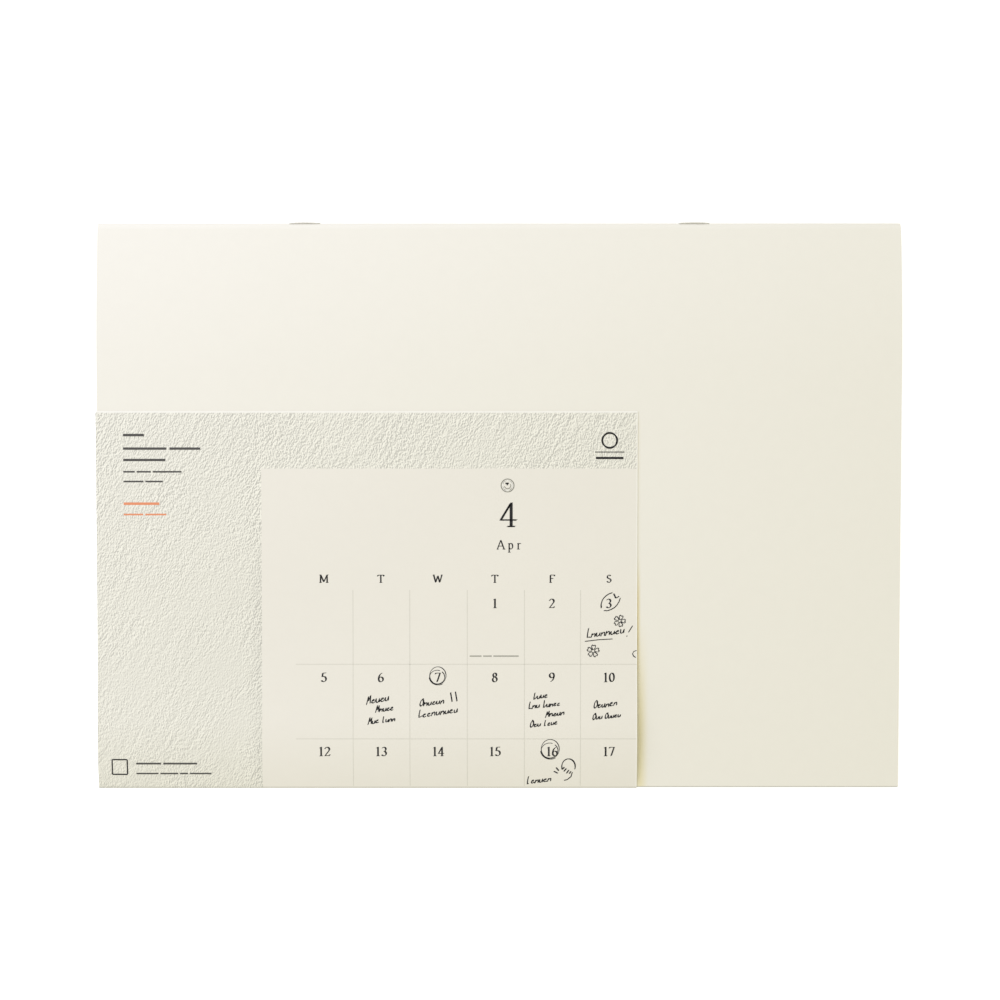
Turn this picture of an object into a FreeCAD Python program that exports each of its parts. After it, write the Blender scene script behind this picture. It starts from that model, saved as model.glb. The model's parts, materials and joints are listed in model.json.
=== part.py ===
"""Wall calendar, closed and lying on its back: a stapled booklet of folded sheets with a label band.

The spine fold lies along the +Y side, the free edges along the -Y side, and the front cover looks up.
The section across the fold is a flat-bottomed drop: a straight taper rises from the free edges, a wide
arc crowns it, a tight arc rounds the fold, and a wide arc underneath leads down to the flat back.
"""
import FreeCAD, Part
import math
import os

import Sketcher

App = FreeCAD
Vector = App.Vector

SIZES = {
    # Booklet
    "booklet_width": 297.0,
    "booklet_depth": 209.5,
    "cover_thickness": 0.2,
    "block_thickness": 1.68,
    "paper_gap": 0.05,
    "leaf_slit": 0.1,
    "fore_slant": 0.6,
    # Drop-shaped section
    "bulge_rise": 6.8,
    "crown_inset": 44.75,
    "belly_radius": 261.0,
    "loop_radius": 1.07,
    "loop_flank_radius": 220.0,
    "nose_lift": 1.6,
    # Staples
    "wire_diameter": 0.6,
    "wire_bend": 0.4,
    "crown_length": 12.0,
    "clinch_length": 4.6,
    "staple_pitch": 144.0,
    "staple_tilt": 28.0,
    "hole_clearance": 0.05,
    # Label band
    "band_thickness": 0.2,
    "band_width": 200.5,
    "band_reach": 139.2,
    "band_overhang": 0.5,
    "wrap_gap": 0.15,
    "fold_radius": 0.2,
    "fold_headroom": 0.1,
    "lift_length": 72.0,
    "lift_landing_radius": 616.0,
    "lift_hump_radius": 86.0,
}

# Lengths worked out from the sizes, measured in the section: across the fold, then up
WALL = "(sizes.cover_thickness + sizes.paper_gap + sizes.block_thickness)"
HALF_DEPTH = "(sizes.booklet_depth / 2)"
BASE_HEIGHT = "(sizes.band_thickness + sizes.paper_gap)"
FORE_HEIGHT = f"({BASE_HEIGHT} + 2 * {WALL} + sizes.leaf_slit)"
PEAK_HEIGHT = f"({FORE_HEIGHT} + sizes.bulge_rise)"
CROWN_PLACE = f"({HALF_DEPTH} - sizes.crown_inset)"
NOSE_RADIUS = f"(sizes.loop_radius + {WALL})"
NOSE_PLACE = f"({HALF_DEPTH} - {NOSE_RADIUS})"
NOSE_HEIGHT = f"({BASE_HEIGHT} + sizes.nose_lift + {NOSE_RADIUS})"
BLOCK_INSET = "(sizes.cover_thickness + sizes.paper_gap)"
SLIT_HEIGHT = f"({BASE_HEIGHT} + {WALL} + sizes.leaf_slit)"

# Lengths of the staples and of the band
HOLE_RADIUS = "(sizes.wire_diameter / 2 + sizes.hole_clearance)"
LEG_SPACING = "(sizes.crown_length - sizes.wire_diameter)"
CLINCH_TIP = f"({LEG_SPACING} / 2 - sizes.clinch_length)"
STAPLE_OUTER = f"({NOSE_RADIUS} + sizes.paper_gap + sizes.wire_diameter / 2)"
STAPLE_INNER = "(sizes.loop_radius - sizes.paper_gap - sizes.wire_diameter / 2)"
BAND_FRONT = f"({HALF_DEPTH} + sizes.wrap_gap)"
BAND_END = f"(sizes.band_reach - {HALF_DEPTH})"
BAND_FOLD_HEIGHT = f"({FORE_HEIGHT} - sizes.fold_radius + sizes.fold_headroom)"

# The frame's origin is under the middle of the whole object, band edge and staple crowns included
CROWN_STANDOUT = f"({NOSE_PLACE} + {STAPLE_OUTER} * cos(sizes.staple_tilt) + sizes.wire_diameter / 2)"
FRAME_X = "(sizes.band_overhang / 2)"
FRAME_Y = f"(({BAND_FRONT} + sizes.band_thickness - {CROWN_STANDOUT}) / 2)"

START, END, CENTRE = 1, 2, 3
ORIGIN = (-1, 1)
ACROSS_AXIS, UP_AXIS = -1, -2


def make_sheet(doc):
    """Write the driving sizes into the document's spreadsheet."""
    sheet = doc.addObject("Spreadsheet::Sheet", "sizes")
    for row, (alias, value) in enumerate(SIZES.items(), start=1):
        sheet.set(f"A{row}", alias)
        sheet.set(f"B{row}", str(value))
        sheet.setAlias(f"B{row}", alias)
    doc.recompute()
    return sheet


def measure(sheet, expression):
    """Work an expression of the sheet's sizes out as a number."""
    return float(sheet.evalExpression(expression.replace("sizes.", "")))


def add_body(doc, label):
    """Add a body whose label names its file."""
    body = doc.addObject("PartDesign::Body", label)
    body.Label = label
    return body


def place_body(body, across_x, along_y, up_z):
    """Tie a body's place to the sizes, shifted into the object's frame."""
    body.setExpression("Placement.Base.x", f"{across_x} + {FRAME_X}")
    body.setExpression("Placement.Base.y", f"{along_y} + {FRAME_Y}")
    body.setExpression("Placement.Base.z", up_z)


def add_sketch(body, role, name):
    """Add a sketch on one of the body's own origin planes."""
    sketch = body.newObject("Sketcher::SketchObject", name)
    plane = [feature for feature in body.Origin.OriginFeatures if feature.Role == role][0]
    sketch.AttachmentSupport = [(plane, "")]
    sketch.MapMode = "FlatFace"
    return sketch


def drive(sketch, name, expression, kind, *elements):
    """Add a named dimension to a sketch and bind it to the sizes."""
    start_value = measure(sketch.Document.sizes, expression)
    index = sketch.addConstraint(Sketcher.Constraint(kind, *elements, start_value))
    sketch.renameConstraint(index, name)
    sketch.setExpression(f"Constraints.{name}", expression)


def join(sketch, *constraints):
    """Add undimensioned constraints."""
    for constraint in constraints:
        sketch.addConstraint(Sketcher.Constraint(*constraint))


def add_line(sketch, start, end, construction=False):
    """Add a line between two points of the section."""
    return sketch.addGeometry(Part.LineSegment(Vector(*start), Vector(*end)), construction)


def add_arc(sketch, centre, radius, start_angle, end_angle, construction=False):
    """Add an arc that turns anticlockwise between two angles in degrees."""
    circle = Part.Circle(Vector(*centre), Vector(0, 0, 1), radius)
    arc = Part.ArcOfCircle(circle, math.radians(start_angle), math.radians(end_angle))
    return sketch.addGeometry(arc, construction)


def point_on(centre, radius, angle):
    """Give the point of a circle at an angle in degrees."""
    turn = math.radians(angle)
    return (centre[0] + radius * math.cos(turn), centre[1] + radius * math.sin(turn), 0)


class DropSection:
    """The cover's outer line in a sketch, and lines parallel to it further in."""

    def __init__(self, sketch, construction):
        """Draw the outer line: taper, crown arc, nose arc, belly arc and flat back."""
        self.sketch = sketch
        self.sheet = sketch.Document.sizes
        self.solve_start()
        self.outer = self.add_chain(0.0, construction)
        taper, crown, nose, belly, back = self.outer
        peak_line = add_line(sketch, self.crown_centre, self.peak, True)
        drive(sketch, "nose_radius", NOSE_RADIUS, "Radius", nose)
        drive(sketch, "nose_place", NOSE_PLACE, "DistanceX", *ORIGIN, nose, CENTRE)
        drive(sketch, "nose_height", NOSE_HEIGHT, "DistanceY", *ORIGIN, nose, CENTRE)
        drive(sketch, "belly_radius", "sizes.belly_radius", "Radius", belly)
        drive(sketch, "base_height", BASE_HEIGHT, "DistanceY", *ORIGIN, back, END)
        drive(sketch, "crown_place", CROWN_PLACE, "DistanceX", *ORIGIN, crown, CENTRE)
        drive(sketch, "peak_height", PEAK_HEIGHT, "DistanceY", *ORIGIN, peak_line, END)
        drive(sketch, "fore_height", FORE_HEIGHT, "DistanceY", *ORIGIN, taper, START)
        drive(sketch, "fore_top", f"{HALF_DEPTH} - sizes.fore_slant", "DistanceX", taper, START, *ORIGIN)
        drive(sketch, "fore_base", HALF_DEPTH, "DistanceX", back, END, *ORIGIN)
        join(sketch,
             ("Horizontal", back),
             ("Coincident", peak_line, START, crown, CENTRE),
             ("PointOnObject", peak_line, END, crown),
             ("Vertical", peak_line))

    def solve_start(self):
        """Work out where the arcs meet, so that the sketch starts at its solution."""
        half = measure(self.sheet, HALF_DEPTH)
        base = measure(self.sheet, BASE_HEIGHT)
        nose = (measure(self.sheet, NOSE_PLACE), measure(self.sheet, NOSE_HEIGHT), 0)
        nose_radius = measure(self.sheet, NOSE_RADIUS)
        belly_radius = measure(self.sheet, "sizes.belly_radius")
        peak = measure(self.sheet, PEAK_HEIGHT)
        crown_place = measure(self.sheet, CROWN_PLACE)
        run = nose[0] - crown_place
        rise = peak - nose[1]
        self.crown_radius = (run**2 + rise**2 - nose_radius**2) / (2 * (rise - nose_radius))
        self.crown_centre = (crown_place, peak - self.crown_radius, 0)
        self.peak = (crown_place, peak, 0)
        self.crown_end = math.degrees(math.asin((peak - self.crown_radius - nose[1])
                                                / (nose_radius - self.crown_radius)))
        self.belly_radius = belly_radius
        climb = belly_radius - (nose[1] - base)
        belly_run = math.sqrt((belly_radius - nose_radius)**2 - climb**2)
        self.belly_centre = (nose[0] - belly_run, base + belly_radius, 0)
        self.belly_end = -math.degrees(math.atan2(climb, belly_run))
        self.nose_centre = nose
        self.nose_radius = nose_radius
        self.fore_base = (-half, base, 0)
        self.fore_top = (-half + measure(self.sheet, "sizes.fore_slant"), measure(self.sheet, FORE_HEIGHT), 0)
        away = (self.crown_centre[0] - self.fore_top[0], self.crown_centre[1] - self.fore_top[1])
        spread = math.degrees(math.asin(self.crown_radius / math.hypot(*away)))
        self.taper_angle = math.degrees(math.atan2(away[1], away[0])) + spread

    def add_chain(self, inset, construction=False):
        """Draw the line at a distance inside the outer one, its pieces tangent in turn."""
        sketch = self.sketch
        crown_radius = self.crown_radius - inset
        taper_turn = 90 + self.taper_angle
        taper_end = point_on(self.crown_centre, crown_radius, taper_turn)
        normal = point_on((0, 0), inset, taper_turn - 180)
        taper_start = (self.fore_top[0] + normal[0], self.fore_top[1] + normal[1], 0)
        back_start = (self.belly_centre[0], self.fore_base[1] + inset, 0)
        back_end = (self.fore_base[0], self.fore_base[1] + inset, 0)
        belly_turn = self.belly_end
        taper = add_line(sketch, taper_start, taper_end, construction)
        crown = add_arc(sketch, self.crown_centre, crown_radius, self.crown_end, taper_turn, construction)
        nose = add_arc(sketch, self.nose_centre, self.nose_radius - inset, belly_turn, self.crown_end,
                       construction)
        belly = add_arc(sketch, self.belly_centre, self.belly_radius - inset, -90, belly_turn, construction)
        back = add_line(sketch, back_start, back_end, construction)
        join(sketch,
             ("Tangent", taper, END, crown, END),
             ("Tangent", crown, START, nose, END),
             ("Tangent", nose, START, belly, END),
             ("Tangent", belly, START, back, START))
        return taper, crown, nose, belly, back

    def add_inner(self, name, inset):
        """Draw a line parallel to the outer one and tie its distance to the sizes."""
        chain = self.add_chain(measure(self.sheet, inset))
        taper, crown, nose, belly, back = chain
        join(self.sketch,
             ("Parallel", taper, self.outer[0]),
             ("Horizontal", back),
             ("Coincident", crown, CENTRE, self.outer[1], CENTRE),
             ("Coincident", nose, CENTRE, self.outer[2], CENTRE),
             ("Coincident", belly, CENTRE, self.outer[3], CENTRE))
        drive(self.sketch, f"{name}_height", f"{BASE_HEIGHT} + {inset}", "DistanceY", *ORIGIN, back, END)
        return chain

    def add_loop(self):
        """Draw the line between the upper and lower leaves: a slit that opens into the fold's loop."""
        sketch = self.sketch
        inset = measure(self.sheet, WALL)
        slit_height = measure(self.sheet, SLIT_HEIGHT)
        flank_radius = measure(self.sheet, "sizes.loop_flank_radius")
        loop_radius = self.nose_radius - inset
        drop = flank_radius - (self.nose_centre[1] - slit_height)
        run = math.sqrt((flank_radius + loop_radius)**2 - drop**2)
        flank_centre = (self.nose_centre[0] - run, slit_height + flank_radius, 0)
        flank_turn = -math.degrees(math.atan2(drop, run))
        back_height = self.fore_base[1] + inset
        slit = add_line(sketch, (self.fore_top[0], slit_height, 0), (flank_centre[0], slit_height, 0))
        flank = add_arc(sketch, flank_centre, flank_radius, -90, flank_turn)
        nose = add_arc(sketch, self.nose_centre, loop_radius, self.belly_end, flank_turn + 180)
        belly = add_arc(sketch, self.belly_centre, self.belly_radius - inset, -90, self.belly_end)
        back = add_line(sketch, (self.belly_centre[0], back_height, 0), (self.fore_base[0], back_height, 0))
        join(sketch,
             ("Tangent", slit, END, flank, START),
             ("Tangent", flank, END, nose, END),
             ("Tangent", nose, START, belly, END),
             ("Tangent", belly, START, back, START),
             ("Coincident", nose, CENTRE, self.outer[2], CENTRE),
             ("Coincident", belly, CENTRE, self.outer[3], CENTRE),
             ("Horizontal", slit),
             ("Horizontal", back))
        drive(sketch, "slit_height", SLIT_HEIGHT, "DistanceY", *ORIGIN, slit, START)
        drive(sketch, "slit_front", f"{HALF_DEPTH} - sizes.fore_slant", "DistanceX", slit, START, *ORIGIN)
        drive(sketch, "flank_radius", "sizes.loop_flank_radius", "Radius", flank)
        drive(sketch, "lower_leaves_top", f"{BASE_HEIGHT} + {WALL}", "DistanceY", *ORIGIN, back, END)
        drive(sketch, "lower_leaves_front", HALF_DEPTH, "DistanceX", back, END, *ORIGIN)
        return slit, back

    def close_ends(self, upper_pair, lower_pair):
        """Join two lines at the free edges by upright cuts, one above the other."""
        for (first, second), corner in ((upper_pair, START), (lower_pair, END)):
            cut = add_line(self.sketch, point_of(self.sketch, first, corner),
                           point_of(self.sketch, second, corner))
            join(self.sketch,
                 ("Coincident", cut, START, first, corner),
                 ("Coincident", cut, END, second, corner),
                 ("Vertical", cut))


def point_of(sketch, element, corner):
    """Give an end point of a sketch element."""
    point = sketch.getPoint(element, corner)
    return (point.x, point.y, 0)


def pad_section(body, sketch, length):
    """Pad a section evenly to both sides of its plane."""
    pad = body.newObject("PartDesign::Pad", f"{body.Name}_pad")
    pad.Profile = sketch
    pad.SideType = "Symmetric"
    pad.setExpression("Length", length)
    body.Tip = pad
    return pad


def pierce_fold(body):
    """Cut the four leg holes through the fold, square to its rounded surface."""
    sketch = add_sketch(body, "XZ_Plane", f"{body.Name}_leg_holes_sketch")
    sketch.AttachmentOffset = App.Placement(Vector(0, 0, 0), App.Rotation(Vector(1, 0, 0), 1))
    sketch.setExpression("AttachmentOffset.Base.y", NOSE_HEIGHT)
    sketch.setExpression("AttachmentOffset.Base.z", f"-{NOSE_PLACE}")
    sketch.setExpression("AttachmentOffset.Rotation.Angle", "sizes.staple_tilt")
    radius = measure(sketch.Document.sizes, HOLE_RADIUS)
    for staple, staple_side in (("left", "-"), ("right", "")):
        for leg, leg_side in (("left", "-"), ("right", "+")):
            place = f"{staple_side}sizes.staple_pitch / 2 {leg_side} {LEG_SPACING} / 2"
            start_place = measure(sketch.Document.sizes, place)
            hole = sketch.addGeometry(Part.Circle(Vector(start_place, 0, 0), Vector(0, 0, 1), radius), False)
            join(sketch, ("PointOnObject", hole, CENTRE, ACROSS_AXIS))
            drive(sketch, f"{staple}_staple_{leg}_leg_radius", HOLE_RADIUS, "Radius", hole)
            if start_place > 0:
                drive(sketch, f"{staple}_staple_{leg}_leg", place, "DistanceX", *ORIGIN, hole, CENTRE)
            else:
                drive(sketch, f"{staple}_staple_{leg}_leg", f"-({place})", "DistanceX", hole, CENTRE, *ORIGIN)
    pocket = body.newObject("PartDesign::Pocket", f"{body.Name}_leg_holes")
    pocket.Profile = sketch
    pocket.setExpression("Length", f"2 * {NOSE_RADIUS}")
    body.Tip = pocket


def make_cover_sheet(doc):
    """Make the outer sheet, folded once round all the others."""
    body = add_body(doc, "cover_sheet")
    sketch = add_sketch(body, "YZ_Plane", "cover_section")
    section = DropSection(sketch, construction=False)
    inner = section.add_inner("cover_inner", "sizes.cover_thickness")
    section.close_ends((section.outer[0], inner[0]), (section.outer[4], inner[4]))
    pad_section(body, sketch, "sizes.booklet_width")
    pierce_fold(body)
    place_body(body, "0", "0", "0")
    return body


def make_page_block(doc):
    """Make the folded month sheets as one solid.

    The lower leaves lie flat, the upper ones spread under the raised cover, and the innermost sheet
    keeps an open loop at its springy fold, where the staples' ends lie.
    """
    body = add_body(doc, "page_block")
    sketch = add_sketch(body, "YZ_Plane", "block_section")
    section = DropSection(sketch, construction=True)
    outside = section.add_inner("block_outer", BLOCK_INSET)
    slit, lower_top = section.add_loop()
    section.close_ends((outside[0], slit), (outside[4], lower_top))
    pad_section(body, sketch, "sizes.booklet_width")
    pierce_fold(body)
    place_body(body, "0", "0", "0")
    return body


def make_staple(doc, label, side):
    """Make a wire staple: crown outside the fold, legs through it, ends bent over inside."""
    sheet = doc.sizes
    body = add_body(doc, label)
    half_spacing = measure(sheet, LEG_SPACING) / 2
    inner = measure(sheet, STAPLE_INNER)
    outer = measure(sheet, STAPLE_OUTER)
    bend = measure(sheet, "sizes.wire_bend")
    clinch = measure(sheet, "sizes.clinch_length")
    path = add_sketch(body, "XY_Plane", f"{label}_path")
    lines = {}
    bends = {}
    for name, sign in (("left", -1), ("right", 1)):
        leg_x = sign * half_spacing
        inside_x = sign * (half_spacing - bend)
        tip_x = sign * (half_spacing - clinch)
        lines[f"{name}_clinch"] = add_line(path, (tip_x, inner, 0), (inside_x, inner, 0))
        lines[f"{name}_leg"] = add_line(path, (leg_x, inner + bend, 0), (leg_x, outer - bend, 0))
        low_turn, high_turn = ((180, 90), (270, 0))[sign > 0]
        bends[f"{name}_low"] = add_arc(path, (inside_x, inner + bend), bend, low_turn, low_turn + 90)
        bends[f"{name}_high"] = add_arc(path, (inside_x, outer - bend), bend, high_turn, high_turn + 90)
    lines["crown"] = add_line(path, (-half_spacing + bend, outer, 0), (half_spacing - bend, outer, 0))
    join(path,
         ("Tangent", lines["left_clinch"], END, bends["left_low"], END),
         ("Tangent", bends["left_low"], START, lines["left_leg"], START),
         ("Tangent", lines["left_leg"], END, bends["left_high"], END),
         ("Tangent", bends["left_high"], START, lines["crown"], START),
         ("Tangent", lines["crown"], END, bends["right_high"], END),
         ("Tangent", bends["right_high"], START, lines["right_leg"], END),
         ("Tangent", lines["right_leg"], START, bends["right_low"], END),
         ("Tangent", bends["right_low"], START, lines["right_clinch"], END),
         ("Horizontal", lines["crown"]),
         ("Horizontal", lines["left_clinch"]),
         ("Horizontal", lines["right_clinch"]),
         ("Vertical", lines["left_leg"]),
         ("Vertical", lines["right_leg"]),
         ("Equal", bends["left_low"], bends["right_low"]),
         ("Equal", bends["left_low"], bends["left_high"]),
         ("Equal", bends["left_low"], bends["right_high"]),
         ("Symmetric", lines["left_leg"], START, lines["right_leg"], START, UP_AXIS))
    drive(path, "bend_radius", "sizes.wire_bend", "Radius", bends["left_low"])
    drive(path, "crown_distance", STAPLE_OUTER, "DistanceY", *ORIGIN, lines["crown"], START)
    drive(path, "clinch_distance", STAPLE_INNER, "DistanceY", *ORIGIN, lines["left_clinch"], START)
    drive(path, "leg_spacing", LEG_SPACING, "DistanceX", lines["left_leg"], START, lines["right_leg"], START)
    drive(path, "left_tip", CLINCH_TIP, "DistanceX", lines["left_clinch"], START, *ORIGIN)
    drive(path, "right_tip", CLINCH_TIP, "DistanceX", *ORIGIN, lines["right_clinch"], START)
    wire = add_sketch(body, "YZ_Plane", f"{label}_wire")
    wire.setExpression("AttachmentOffset.Base.z", f"-{CLINCH_TIP}")
    circle = wire.addGeometry(Part.Circle(Vector(inner, 0, 0), Vector(0, 0, 1), bend), False)
    join(wire, ("PointOnObject", circle, CENTRE, ACROSS_AXIS))
    drive(wire, "wire_radius", "sizes.wire_diameter / 2", "Radius", circle)
    drive(wire, "wire_place", STAPLE_INNER, "DistanceX", *ORIGIN, circle, CENTRE)
    pipe = body.newObject("PartDesign::AdditivePipe", f"{label}_pipe")
    pipe.Profile = wire
    pipe.Spine = path
    body.Tip = pipe
    body.Placement = App.Placement(Vector(0, 0, 0), App.Rotation(Vector(1, 0, 0), 1))
    place_body(body, f"{side}sizes.staple_pitch / 2", NOSE_PLACE, NOSE_HEIGHT)
    body.setExpression("Placement.Rotation.Angle", "sizes.staple_tilt")
    return body


def make_label_band(doc):
    """Make the paper band: it lies on the cover, lifts near the free edge and folds round to the back."""
    sheet = doc.sizes
    body = add_body(doc, "label_band")
    sketch = add_sketch(body, "YZ_Plane", "band_section")
    section = DropSection(sketch, construction=True)
    taper = section.outer[0]
    gap = measure(sheet, "sizes.paper_gap")
    thickness = measure(sheet, "sizes.band_thickness")
    inner = add_band_chain(section, gap, 0.0)
    outer = add_band_chain(section, gap, thickness)
    drive(sketch, "cover_gap", "sizes.paper_gap", "Distance", inner["front"], START, taper)
    drive(sketch, "landing_radius", "sizes.lift_landing_radius", "Radius", inner["landing"])
    drive(sketch, "hump_radius", "sizes.lift_hump_radius", "Radius", inner["hump"])
    drive(sketch, "fold_radius", "sizes.fold_radius", "Radius", inner["upper_fold"])
    drive(sketch, "band_front", BAND_FRONT, "DistanceX", inner["drop"], START, *ORIGIN)
    drive(sketch, "fold_height", BAND_FOLD_HEIGHT, "DistanceY", *ORIGIN, inner["upper_fold"], CENTRE)
    drive(sketch, "back_height", "sizes.band_thickness", "DistanceY", *ORIGIN, inner["back"], END)
    drive(sketch, "front_end", BAND_END, "DistanceX", *ORIGIN, inner["front"], START)
    drive(sketch, "back_end", BAND_END, "DistanceX", *ORIGIN, inner["back"], END)
    drive(sketch, "lift_start", f"{HALF_DEPTH} - sizes.lift_length", "DistanceX",
          inner["front"], END, *ORIGIN)
    join(sketch,
         ("Parallel", inner["front"], taper),
         ("Parallel", outer["front"], taper),
         ("Vertical", inner["drop"]),
         ("Vertical", outer["drop"]),
         ("Horizontal", inner["back"]),
         ("Horizontal", outer["back"]),
         ("Equal", inner["upper_fold"], inner["lower_fold"]),
         ("PointOnObject", outer["back"], START, ACROSS_AXIS))
    for name in ("landing", "hump", "upper_fold", "lower_fold"):
        join(sketch, ("Coincident", outer[name], CENTRE, inner[name], CENTRE))
    for name, corner in (("front", START), ("back", END)):
        cut = add_line(sketch, point_of(sketch, outer[name], corner), point_of(sketch, inner[name], corner))
        join(sketch,
             ("Coincident", cut, START, outer[name], corner),
             ("Coincident", cut, END, inner[name], corner),
             ("Vertical", cut))
    pad_section(body, sketch, "sizes.band_width")
    place_body(body, "(sizes.band_width - sizes.booklet_width) / 2 - sizes.band_overhang", "0", "0")
    return body


def add_band_chain(section, gap, offset):
    """Draw one side of the band, from its free end on the cover round to its free end at the back."""
    sketch = section.sketch
    sheet = section.sheet
    landing_radius = measure(sheet, "sizes.lift_landing_radius") - offset
    hump_radius = measure(sheet, "sizes.lift_hump_radius") + offset
    fold_radius = measure(sheet, "sizes.fold_radius") + offset
    band_end = measure(sheet, BAND_END)
    lift_start = measure(sheet, f"sizes.lift_length - {HALF_DEPTH}")
    slope = section.taper_angle
    tangent = math.tan(math.radians(slope))

    def front_height(place):
        """Give the height of the band's flat part at a place across the fold."""
        along = (place - section.fore_top[0]) * tangent
        return section.fore_top[1] + along + (gap + offset) / math.cos(math.radians(slope))

    fold_centre = (-measure(sheet, BAND_FRONT) + fold_radius - offset, measure(sheet, BAND_FOLD_HEIGHT))
    back_centre = (fold_centre[0], measure(sheet, "sizes.band_thickness") + fold_radius - offset)
    landing_start = (lift_start, front_height(lift_start), 0)
    landing_centre = point_on(landing_start, landing_radius, slope + 90)
    # The hump's centre lies where its circle touches the landing's and holds the fold's inside
    reach = landing_radius + hump_radius
    inside = hump_radius - fold_radius
    span = math.hypot(landing_centre[0] - fold_centre[0], landing_centre[1] - fold_centre[1])
    bearing = math.atan2(fold_centre[1] - landing_centre[1], fold_centre[0] - landing_centre[0])
    opening = math.acos((reach**2 + span**2 - inside**2) / (2 * reach * span))
    hump_turn = math.degrees(bearing + opening)
    hump_centre = point_on(landing_centre, reach, hump_turn)
    fold_turn = math.degrees(math.atan2(fold_centre[1] - hump_centre[1], fold_centre[0] - hump_centre[0]))
    landing_end = hump_turn % 360
    chain = {
        "front": add_line(sketch, (band_end, front_height(band_end), 0), landing_start),
        "landing": add_arc(sketch, landing_centre, landing_radius, landing_end, 270 + slope),
        "hump": add_arc(sketch, hump_centre, hump_radius, landing_end - 180, fold_turn),
        "upper_fold": add_arc(sketch, fold_centre, fold_radius, fold_turn, 180),
        "drop": add_line(sketch, point_on(fold_centre, fold_radius, 180),
                         point_on(back_centre, fold_radius, 180)),
        "lower_fold": add_arc(sketch, back_centre, fold_radius, 180, 270),
        "back": add_line(sketch, point_on(back_centre, fold_radius, 270),
                         (band_end, back_centre[1] - fold_radius, 0)),
    }
    join(sketch,
         ("Tangent", chain["front"], END, chain["landing"], END),
         ("Tangent", chain["landing"], START, chain["hump"], START),
         ("Tangent", chain["hump"], END, chain["upper_fold"], START),
         ("Tangent", chain["upper_fold"], END, chain["drop"], START),
         ("Tangent", chain["drop"], END, chain["lower_fold"], START),
         ("Tangent", chain["lower_fold"], END, chain["back"], START))
    return chain


def check_document(doc, bodies):
    """Stop if any feature failed or a sub-part has no valid solid."""
    for item in doc.Objects:
        if {"Invalid", "Error"} & set(item.State):
            raise RuntimeError(f"{item.Label} failed: {item.State}")
    for body in bodies:
        if body.Shape.isNull() or not body.Shape.isValid():
            raise RuntimeError(f"{body.Label} has no valid shape")


def main():
    """Build the calendar and write one file for each sub-part."""
    doc = App.newDocument("wall_calendar")
    make_sheet(doc)
    bodies = [
        make_cover_sheet(doc),
        make_page_block(doc),
        make_staple(doc, "staple_left", "-"),
        make_staple(doc, "staple_right", ""),
        make_label_band(doc),
    ]
    doc.recompute()
    check_document(doc, bodies)
    os.makedirs("parts", exist_ok=True)
    for body in bodies:
        body.Shape.exportStep(f"parts/{body.Label}.step")
        box = body.Shape.BoundBox
        print(f"{body.Label}: {body.Shape.Volume:.1f} mm3, x {box.XMin:.2f} to {box.XMax:.2f}, "
              f"y {box.YMin:.2f} to {box.YMax:.2f}, z {box.ZMin:.2f} to {box.ZMax:.2f}")


main()
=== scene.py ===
"""Looks of a stapled wall calendar, folded shut and lying flat, with a printed paper band round its free edge."""

import json
import logging
import math
import random
from dataclasses import dataclass, field
from enum import Enum
from typing import Callable, Iterable, Sequence, Union

import bpy
from mathutils import Matrix, Vector

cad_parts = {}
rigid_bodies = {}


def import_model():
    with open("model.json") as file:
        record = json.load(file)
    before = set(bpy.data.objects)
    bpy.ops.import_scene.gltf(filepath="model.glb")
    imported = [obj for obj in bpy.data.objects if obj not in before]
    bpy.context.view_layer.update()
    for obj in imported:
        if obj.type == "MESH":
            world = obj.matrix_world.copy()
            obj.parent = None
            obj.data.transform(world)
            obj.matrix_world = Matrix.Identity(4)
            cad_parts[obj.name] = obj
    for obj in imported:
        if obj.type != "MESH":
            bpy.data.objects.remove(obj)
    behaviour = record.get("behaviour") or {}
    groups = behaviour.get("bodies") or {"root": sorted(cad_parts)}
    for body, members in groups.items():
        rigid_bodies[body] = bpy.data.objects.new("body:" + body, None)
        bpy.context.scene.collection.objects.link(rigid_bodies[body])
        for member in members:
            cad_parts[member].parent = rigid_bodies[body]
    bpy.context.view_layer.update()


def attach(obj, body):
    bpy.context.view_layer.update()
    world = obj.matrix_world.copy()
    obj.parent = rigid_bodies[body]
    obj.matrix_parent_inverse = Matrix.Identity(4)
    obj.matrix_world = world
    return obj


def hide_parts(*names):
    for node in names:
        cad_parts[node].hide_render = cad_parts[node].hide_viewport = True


MM = 0.001
# Where the booklet's own middle lies in the frame, in millimetres.
SHIFT_ACROSS = 0.25
SHIFT_ALONG = 0.046
# The distance in millimetres under which two points of a line are one.
SAME_POINT = 0.004
# The sockets of a Mix node that mixes colours.
MIX_SHARE, MIX_FIRST, MIX_SECOND, MIX_RESULT = 0, 6, 7, 2

log = logging.getLogger("wall_calendar")
Place = tuple[float, float]
Span = tuple[float, float]
Strokes = list[list[Place]]
Box = tuple[float, float, float, float]
Triple = tuple[float, float, float]
Colour = Triple
Socket = bpy.types.NodeSocket
Material = bpy.types.Material
Piece = bpy.types.Object


class Slot(Enum):
    """The material slots of the calendar's own parts list."""

    COVER = "cover_paper"
    LEAVES = "page_paper"
    STAPLE = "staple_wire"
    BAND = "band_paper"


def tone(red: int, green: int, blue: int) -> Colour:
    """Turn a colour as a screen shows it into the linear colour that a material takes.

    Args:
        red: Red from 0 to 255.
        green: Green from 0 to 255.
        blue: Blue from 0 to 255.

    Returns:
        The linear red, green and blue.
    """
    parts = (channel / 255 for channel in (red, green, blue))
    return tuple(part / 12.92 if part <= 0.04045 else ((part + 0.055) / 1.055) ** 2.4 for part in parts)


def in_frame(across: float, along: float, height: float) -> Vector:
    """Give the point of the scene for a place in the booklet's own millimetres."""
    return Vector(((across + SHIFT_ACROSS) * MM, (along + SHIFT_ALONG) * MM, height * MM))


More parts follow.
